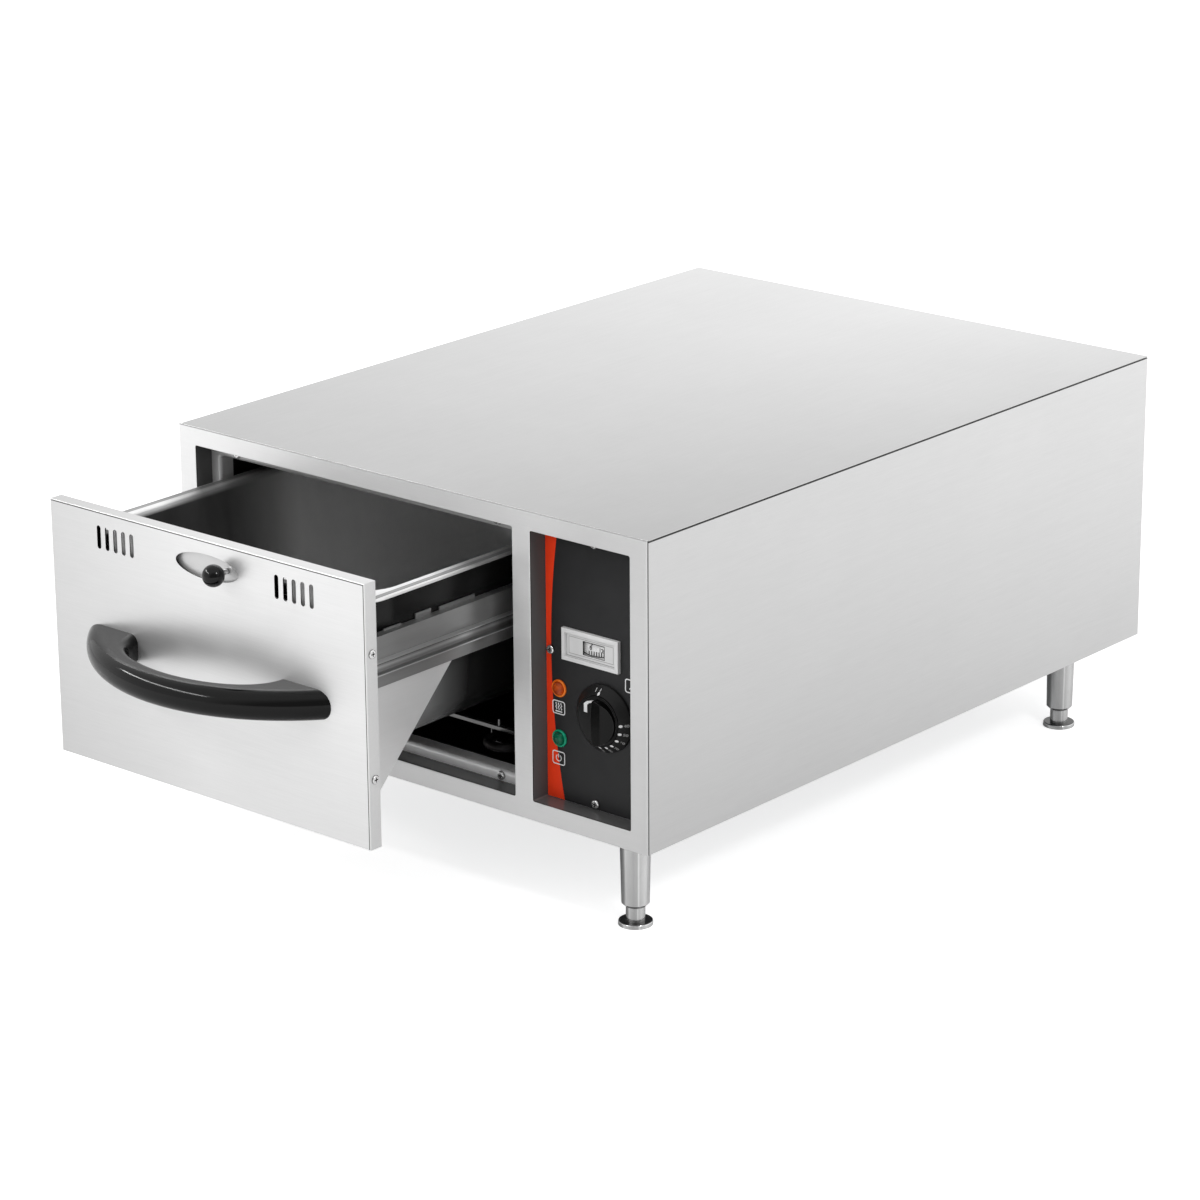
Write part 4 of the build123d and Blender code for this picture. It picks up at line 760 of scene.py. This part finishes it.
def plastics_and_inks():
    return {
        "insulation_wool": mineral_wool(),
        "roller_nylon": moulded_plastic("nylon_finish", (0.80, 0.79, 0.74), gloss=0.42),
        "handle_black": moulded_plastic("handle_finish", (0.003, 0.003, 0.003), gloss=0.08,
                                        strength=0.1, specular_ior_level=0.22),
        "knob_black": knob_plastic(),
        "vent_knob": moulded_plastic("ball_finish", (0.002, 0.002, 0.002), gloss=0.05,
                                     strength=0.1, specular_ior_level=0.30),
        "dial_black": moulded_plastic("dial_finish", (0.014, 0.014, 0.014), gloss=0.34,
                                      specular_ior_level=0.15),
        "overlay_film": moulded_plastic("film_finish", (0.019, 0.019, 0.020), gloss=0.40,
                                        grain=1600.0, strength=0.6, specular_ior_level=0.3),
        "bezel_grey": bezel_plastic(),
        "clear_window": clear_sheet(),
        "card_white": moulded_plastic("card_finish", (0.80, 0.80, 0.80), gloss=0.55, grain=500.0),
        "needle_paint": moulded_plastic("needle_finish", (0.03, 0.03, 0.03), gloss=0.40),
        "amber_plastic": lens_plastic("amber_finish", (0.95, 0.16, 0.01), (1.0, 0.26, 0.03)),
        "green_plastic": lens_plastic("green_finish", (0.005, 0.30, 0.15), (0.01, 0.42, 0.24)),
        # Darker copies of the lens plastics, painted shade for the cut domes.
        "amber_shaded": lens_plastic("amber_shaded_finish", (0.30, 0.035, 0.003), (0.60, 0.09, 0.01)),
        "green_shaded": lens_plastic("green_shaded_finish", (0.001, 0.07, 0.035), (0.003, 0.16, 0.08)),
        "instrument_body": moulded_plastic("instrument_finish", (0.05, 0.05, 0.055), gloss=0.45),
        "copper_tube": copper(),
        "ceramic_white": moulded_plastic("ceramic_finish", (0.78, 0.75, 0.68), gloss=0.50, grain=300.0),
        "wire_sleeve": moulded_plastic("sleeve_finish", (0.62, 0.58, 0.50), gloss=0.60,
                                       grain=2500.0, strength=0.8),
        "gland_black": moulded_plastic("gland_finish", (0.02, 0.02, 0.02), gloss=0.40),
        "stripe_ink": moulded_plastic("stripe_finish", (0.93, 0.052, 0.012), gloss=0.40,
                                      grain=1600.0, strength=0.5, specular_ior_level=0.2),
        "white_ink": moulded_plastic("white_ink_finish", (0.86, 0.86, 0.86), gloss=0.45, grain=1200.0),
        "grey_ink": moulded_plastic("grey_ink_finish", (0.26, 0.26, 0.26), gloss=0.45, grain=1200.0),
        "black_ink": moulded_plastic("black_ink_finish", (0.01, 0.01, 0.01), gloss=0.5,
                                     grain=1200.0, specular_ior_level=0.2),
    }


def make_materials():
    """One finish for each material slot, for single parts that differ, and for the added pieces."""
    return metals() | plastics_and_inks()


# Shape building

def piece(name, points, faces, body, material, smooth=False):
    """A mesh object that rides on one body."""
    mesh = bpy.data.meshes.new(name)
    mesh.from_pydata([tuple(point) for point in points], [], faces)
    mesh.update()
    for face in mesh.polygons:
        face.use_smooth = smooth
    made = bpy.data.objects.new(name, mesh)
    bpy.context.scene.collection.objects.link(made)
    mesh.materials.append(material)
    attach(made, body)
    return made


def on_overlay(u, v):
    """A point of the overlay, in metres across and up from the shared origin."""
    return Vector((u, overlay_front - ink, v))


def on_stripe(u, v):
    """A point just proud of the printed stripe."""
    return Vector((u, overlay_front - 3 * ink, v))


def on_bezel(u, v):
    """A point of the bezel's sunk face, from the window's lower left corner."""
    return Vector((gauge_low.x + window_left + u, gauge_low.y + face_setback - ink,
                   gauge_low.z + window_low + v))


def on_dial(u, v):
    """A point of the dial's cone, across and up from the dial's middle."""
    ring = math.hypot(u, v)
    slope = (dial_radius - ring) / (dial_radius - dial_lip_radius)
    reach = dial_rim + slope * (dial_high.y - dial_low.y - dial_rim)
    return Vector((dial_middle.x + u, overlay_front - reach - 1.5 * ink, dial_middle.z + v))


def on_hub(u, v):
    """A point of the knob's front, across and up from the dial's middle."""
    return Vector((dial_middle.x + u, dial_low.y - hub_proud - ink, dial_middle.z + v))


def on_card(u, v):
    """A point of the thermometer's card, from the window's lower left corner as the eye sees it."""
    return Vector((gauge_low.x + window_left - sight_left + u, card_front - ink,
                   gauge_low.z + window_low - sight_down + v))


def ribbon(points, width, closed=False):
    """Quads along a line of even width, mitred at its corners."""
    count = len(points)
    left = []
    right = []
    for index, point in enumerate(points):
        here = Vector(point)
        before = Vector(points[index - 1]) if closed or index else here
        after = Vector(points[(index + 1) % count]) if closed or index < count - 1 else here
        first = (here - before).normalized() if here != before else (after - here).normalized()
        second = (after - here).normalized() if after != here else first
        normal = Vector((-first.y - second.y, first.x + second.x)).normalized()
        reach = width / 2 / max(0.5, normal.dot(Vector((-first.y, first.x))))
        left.append(here + normal * reach)
        right.append(here - normal * reach)
    quads = []
    for index in range(count if closed else count - 1):
        following = (index + 1) % count
        quads.append([left[index], left[following], right[following], right[index]])
    return quads


def ring_points(radius, steps, start=0.0, sweep=360.0, middle=(0.0, 0.0)):
    """Points on a ring or an arc of one, clockwise from straight up."""
    points = []
    stops = steps if sweep == 360.0 else steps + 1
    for index in range(stops):
        angle = math.radians(start + sweep * index / steps)
        points.append((middle[0] + radius * math.sin(angle), middle[1] + radius * math.cos(angle)))
    return points


def on_ring(radius, angle):
    """One point on a ring, clockwise from straight up."""
    turn = math.radians(angle)
    return (radius * math.sin(turn), radius * math.cos(turn))


def rounded_outline(width, height, corner):
    points = []
    for turn, (sx, sy) in enumerate(((1, 1), (1, -1), (-1, -1), (-1, 1))):
        middle = (sx * (width / 2 - corner), sy * (height / 2 - corner))
        points += ring_points(corner, 4, 90.0 * turn, 90.0, middle)
    return points


def shifted(shapes, place):
    return [[(point[0] + place[0], point[1] + place[1]) for point in shape] for shape in shapes]


def printed(name, shapes, surface, body, material):
    """Flat printed shapes, each an outline, laid on a surface."""
    points = []
    faces = []
    for shape in shapes:
        start = len(points)
        points += [surface(point[0], point[1]) for point in shape]
        faces.append(list(range(start, start + len(shape))))
    return piece(name, points, faces, body, material)


def lettering(name, text, size, surface, middle, turn, body, material):
    """Plain numbers laid on a surface, centred on a point and turned clockwise."""
    curve = bpy.data.curves.new(name, "FONT")
    curve.body = text
    curve.size = size
    curve.align_x = "CENTER"
    curve.align_y = "CENTER"
    curve.offset = 0.04 * size
    writing = bpy.data.objects.new(name + "_line", curve)
    mesh = bpy.data.meshes.new_from_object(writing)
    bpy.data.objects.remove(writing)
    angle = math.radians(turn)
    points = []
    for vertex in mesh.vertices:
        u = vertex.co.x * math.cos(angle) + vertex.co.y * math.sin(angle)
        v = vertex.co.y * math.cos(angle) - vertex.co.x * math.sin(angle)
        points.append(surface(middle[0] + u, middle[1] + v))
    faces = [list(face.vertices) for face in mesh.polygons]
    bpy.data.meshes.remove(mesh)
    return piece(name, points, faces, body, material)


def turned(name, profile, middle, steps, body, material, smooth):
    """A shape turned about an axis along Y, from pairs of radius and reach to the front."""
    points = []
    faces = []
    for radius, reach in profile:
        for u, v in ring_points(radius, steps):
            points.append((middle.x + u, middle.y - reach, middle.z + v))
    for level in range(len(profile) - 1):
        for index in range(steps):
            following = (index + 1) % steps
            faces.append([level * steps + index, level * steps + following,
                          (level + 1) * steps + following, (level + 1) * steps + index])
    faces.append(list(range(steps - 1, -1, -1)))
    faces.append(list(range((len(profile) - 1) * steps, len(profile) * steps)))
    return piece(name, points, faces, body, material, smooth)


# Printed panel

def make_stripe(materials):
    """A coloured band down the overlay's left side, its free edge a long shallow arc."""
    low = overlay_low.z
    high = overlay_high.z
    sag = (stripe_top_width + stripe_bottom_width) / 2 - stripe_middle_width
    left_side = []
    right_side = []
    for index in range(stripe_steps + 1):
        share = index / stripe_steps
        height = low + (high - low) * share
        bow = 4 * share * (1 - share)
        straight = stripe_bottom_width + (stripe_top_width - stripe_bottom_width) * share
        left_side.append((overlay_low.x, height))
        right_side.append((overlay_low.x + straight - sag * bow, height))
    quads = []
    for index in range(stripe_steps):
        quads.append([left_side[index], right_side[index], right_side[index + 1], left_side[index + 1]])
    printed("printed_stripe", quads, on_overlay, "cabinet", materials["stripe_ink"])


def heat_symbol():
    """Three wavy lines of rising heat over a base line."""
    wave_gap = 2.6 * mm
    wave_points = 9
    wave_step = 0.75 * mm
    wave_sway = 0.55 * mm
    wave_turn = 1.6
    wave_lift = 1.0 * mm
    base_reach = 3.6 * mm
    base_drop = 3.4 * mm
    base_line = 1.1 * mm
    shapes = []
    for x in (-wave_gap, 0.0, wave_gap):
        wave = []
        for index in range(wave_points):
            height = (index - wave_points // 2) * wave_step
            wave.append((x + wave_sway * math.sin(index * wave_turn), height + wave_lift))
        shapes += ribbon(wave, symbol_line)
    return shapes + ribbon([(-base_reach, -base_drop), (base_reach, -base_drop)], base_line)


def power_symbol():
    """An open ring with an upright line in its gap."""
    ring_radius = 2.7 * mm
    ring_steps = 20
    half_gap = 35.0
    shapes = ribbon(ring_points(ring_radius, ring_steps, half_gap, 360.0 - 2 * half_gap), symbol_line)
    return shapes + ribbon([(0.0, 0.4 * mm), (0.0, 3.6 * mm)], symbol_line)


def pointer_symbol():
    """An upright line with a short slanting one beside it."""
    foot = -2.6 * mm
    upright = ribbon([(2.6 * mm, foot), (2.6 * mm, 2.0 * mm)], symbol_line)
    return upright + ribbon([(-2.2 * mm, foot), (0.4 * mm, 0.4 * mm)], symbol_line)


def make_badges(materials):
    for name, place, symbol in (("heat_badge", heat_badge_place, heat_symbol()),
                                ("power_badge", power_badge_place, power_symbol()),
                                ("range_badge", range_badge_place, pointer_symbol())):
        border = ribbon(rounded_outline(badge_width, badge_height, badge_corner), badge_line, True)
        printed(name, shifted(border + symbol, place), on_stripe, "cabinet", materials["white_ink"])


# Thermostat

def make_dial_marks(materials):
    """Dots and two off marks round the dial, and a number outside each dot but the first."""
    off_marks = ((0.0, 23.8 * mm, 26.4 * mm), (-10.0, 24.0 * mm, 26.6 * mm))
    shapes = []
    for angle in (0.0,) + dial_angles:
        shapes.append(ring_points(dot_radius, dot_steps, middle=on_ring(dot_ring, angle)))
    for angle, near, far in off_marks:
        shapes += ribbon([on_ring(near, angle), on_ring(far, angle)], off_mark_line)
    printed("dial_dots", shapes, on_dial, "cabinet", materials["white_ink"])
    for index, angle in enumerate(dial_angles):
        lettering(f"dial_number_{index + 1}", str(first_number + number_step * index), number_size,
                  on_dial, on_ring(number_ring, angle), angle - 90.0, "cabinet",
                  materials["grey_ink"])


def make_pointer_highlight(materials):
    """The angled white pointer inlaid in the knob's front, partly a painted highlight of the hub's upper
    left; drawn in millimetres as two faces.
    """
    outline = ((-14.4, 5.0), (-14.4, 12.2), (-11.0, 14.8), (-3.6, 16.9),
               (-3.9, 15.4), (-9.0, 13.3), (-10.9, 11.6), (-10.9, 5.0))
    shape = [(x * mm, z * mm) for x, z in outline]
    halves = [shape[0:3] + shape[5:8], shape[2:6]]
    printed("knob_pointer_highlight", halves, on_hub, "thermostat_control", materials["white_ink"])


# Thermometer

def make_scale(materials):
    """Two numbers, a curved line and its ticks in the thermometer's window."""
    ink_black = materials["black_ink"]
    for name, text, x in (("scale_low", "0", low_number_place), ("scale_high", "120", high_number_place)):
        lettering(name, text, scale_number_size, on_card, (x, scale_number_level), 0.0, "cabinet",
                  ink_black)
    bow = ((0.0, 3.0), (2.5, 2.1), (5.0, 1.3), (7.5, 0.95), (12.0, 1.1), (17.0, 1.6), (22.4, 2.3))
    shapes = ribbon([(x * mm, z * mm) for x, z in bow], scale_line_width)
    for index in range(tick_count):
        x = tick_start + index * tick_gap
        z = tick_foot + index * tick_rise
        shapes += ribbon([(x, z), (x, z + tick_length)], tick_width)
    printed("scale_line", shapes, on_card, "cabinet", ink_black)


def make_window_shade(materials):
    """Painted shade round the thermometer's window, in black ink, widest on its left."""
    left = 0.3 * mm
    right = window_width
    high = gauge_high.z - gauge_low.z - 2 * window_low
    edges = ribbon([(left, 0.0), (left, high)], 1.2 * mm)
    edges += ribbon([(0.0, high), (right, high)], 0.6 * mm)
    edges += ribbon([(right, high), (right, 0.0), (0.0, 0.0)], 0.4 * mm)
    printed("window_shade", edges, on_bezel, "cabinet", materials["black_ink"])


# Lamps

def make_lens(name, node, collar_material, shaded_material):
    """A jewel lens: a smooth outer collar, and a cut dome with flat facets in a darker, painted-shade
    copy of its plastic.
    """
    low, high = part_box(node)
    middle = Vector(((low.x + high.x) / 2, high.y, (low.z + high.z) / 2))
    reach = high.y - low.y
    collar = [(lens_radius, 0.0), (lens_radius, 0.9 * mm), (7.2 * mm, 1.5 * mm),
              (6.6 * mm, 1.9 * mm), (6.0 * mm, 1.6 * mm), (5.8 * mm, 1.0 * mm)]
    ring = turned(name + "_collar", collar, middle, collar_steps, "cabinet", collar_material, True)
    dome = [(dome_radius, 0.6 * mm), (5.6 * mm, 2.0 * mm), (5.0 * mm, 3.1 * mm), (4.1 * mm, 3.9 * mm),
            (2.8 * mm, reach - 0.3 * mm), (1.5 * mm, reach)]
    cut = turned(name + "_facets", dome, middle, dome_facets, "cabinet", shaded_material, False)
    for made in (ring, cut):
        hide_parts(node)


# Studio

def make_camera():
    azimuth = math.radians(camera_azimuth)
    elevation = math.radians(camera_elevation)
    roll = math.radians(camera_roll)
    back = Vector((math.sin(azimuth) * math.cos(elevation), -math.cos(azimuth) * math.cos(elevation),
                   math.sin(elevation)))
    level = Vector((math.cos(azimuth), math.sin(azimuth), 0.0))
    upright = back.cross(level)
    right = math.cos(roll) * level + math.sin(roll) * upright
    up = math.cos(roll) * upright - math.sin(roll) * level
    data = bpy.data.cameras.new("camera")
    data.lens = lens_length
    data.sensor_width = film_width
    camera = bpy.data.objects.new("camera", data)
    turn = Matrix((right, up, back)).transposed().to_4x4()
    camera.matrix_world = Matrix.Translation(camera_place) @ turn
    bpy.context.scene.collection.objects.link(camera)
    bpy.context.scene.camera = camera


def make_lamp(name, direction, power, size):
    """A soft box that faces the object from one direction."""
    data = bpy.data.lights.new(name, "AREA")
    data.energy = power
    data.shape = "RECTANGLE"
    data.size, data.size_y = size
    lamp = bpy.data.objects.new(name, data)
    way = Vector(direction).normalized()
    lamp.location = way * lamp_distance + lamp_aim
    lamp.rotation_euler = way.to_track_quat("Z", "Y").to_euler()
    bpy.context.scene.collection.objects.link(lamp)


def make_world():
    """Plain light all round, dimmer in metal towards one side, and white to the camera."""
    world = bpy.data.worlds.new("studio")
    bpy.context.scene.world = world
    world.use_nodes = True
    sky = Nodes(world.node_tree)
    path = sky.node("ShaderNodeLightPath")
    places = sky.node("ShaderNodeTexCoord")
    turn = math.radians(dim_azimuth)
    toward = sky.dot(places.outputs["Generated"], (math.sin(turn), -math.cos(turn), 0.0))
    fall = sky.fit(toward, dim_start, dim_end, 1.0, dim_level)
    mirrored = sky.times(fall, mirror_level)
    level = sky.levels(path.outputs["Is Glossy Ray"], ambient, mirrored)
    level = sky.levels(path.outputs["Is Camera Ray"], level, 1.0)
    background = world.node_tree.nodes["Background"]
    sky.put(background.inputs["Color"], grey(1.0))
    sky.put(background.inputs["Strength"], level)


def floor_finish():
    """Pale and matt, lifted to white for the camera and to a softer tone in metal."""
    near_lift = 0.1
    front_lift = 0.8
    shade = Shade("floor_finish")
    mottle = shade.noise((3.0, 3.0, 3.0), detail=3.0)
    colour = shade.colours(mottle, grey(0.78), grey(0.80))
    path = shade.node("ShaderNodeLightPath")
    colour = shade.colours(path.outputs["Is Glossy Ray"], colour, grey(floor_mirror_tone))
    shade.finish(colour, 0.9, specular_ior_level=0.0)
    shade.put(shade.shader.inputs["Emission Color"], grey(1.0))
    far_right = shade.fit(shade.at(X), floor_dim_start, floor_dim_end, near_lift, 1.0)
    far_front = shade.fit(shade.at(Y), -floor_dim_start, -floor_dim_end, near_lift, front_lift)
    mirrored = shade.times(shade.larger(far_right, far_front), floor_mirror_lift)
    seen = shade.times(path.outputs["Is Camera Ray"], floor_seen_lift)
    mirrored = shade.times(path.outputs["Is Glossy Ray"], mirrored)
    shade.put(shade.shader.inputs["Emission Strength"], shade.plus(seen, mirrored))
    return shade.material


def make_floor():
    half = floor_size / 2
    mesh = bpy.data.meshes.new("floor")
    mesh.from_pydata([(-half, -half, 0), (half, -half, 0), (half, half, 0), (-half, half, 0)], [],
                     [[0, 1, 2, 3]])
    floor = bpy.data.objects.new("floor", mesh)
    bpy.context.scene.collection.objects.link(floor)
    mesh.materials.append(floor_finish())


# Making

def dress(materials):
    """Give every piece of the model the finish of its own name, or else of its material slot."""
    for part in frame["record"]["subparts"]:
        made = nodes[part["node"]]
        if not made.material_slots:
            made.data.materials.append(None)
        for place in made.material_slots:
            place.material = materials.get(part["node"], materials[part["material_slot"]])


make_camera()
make_world()
make_floor()
make_lamp("front_lamp", front_lamp_way, front_lamp_power, front_lamp_size)
make_lamp("side_lamp", side_lamp_way, side_lamp_power, side_lamp_size)

finishes = make_materials()
dress(finishes)
make_stripe(finishes)
make_badges(finishes)
make_dial_marks(finishes)
make_pointer_highlight(finishes)
make_scale(finishes)
make_window_shade(finishes)
make_lens("amber_jewel", "amber_lens", finishes["amber_plastic"], finishes["amber_shaded"])
make_lens("green_jewel", "green_lens", finishes["green_plastic"], finishes["green_shaded"])

bpy.context.scene.view_settings.view_transform = "Standard"
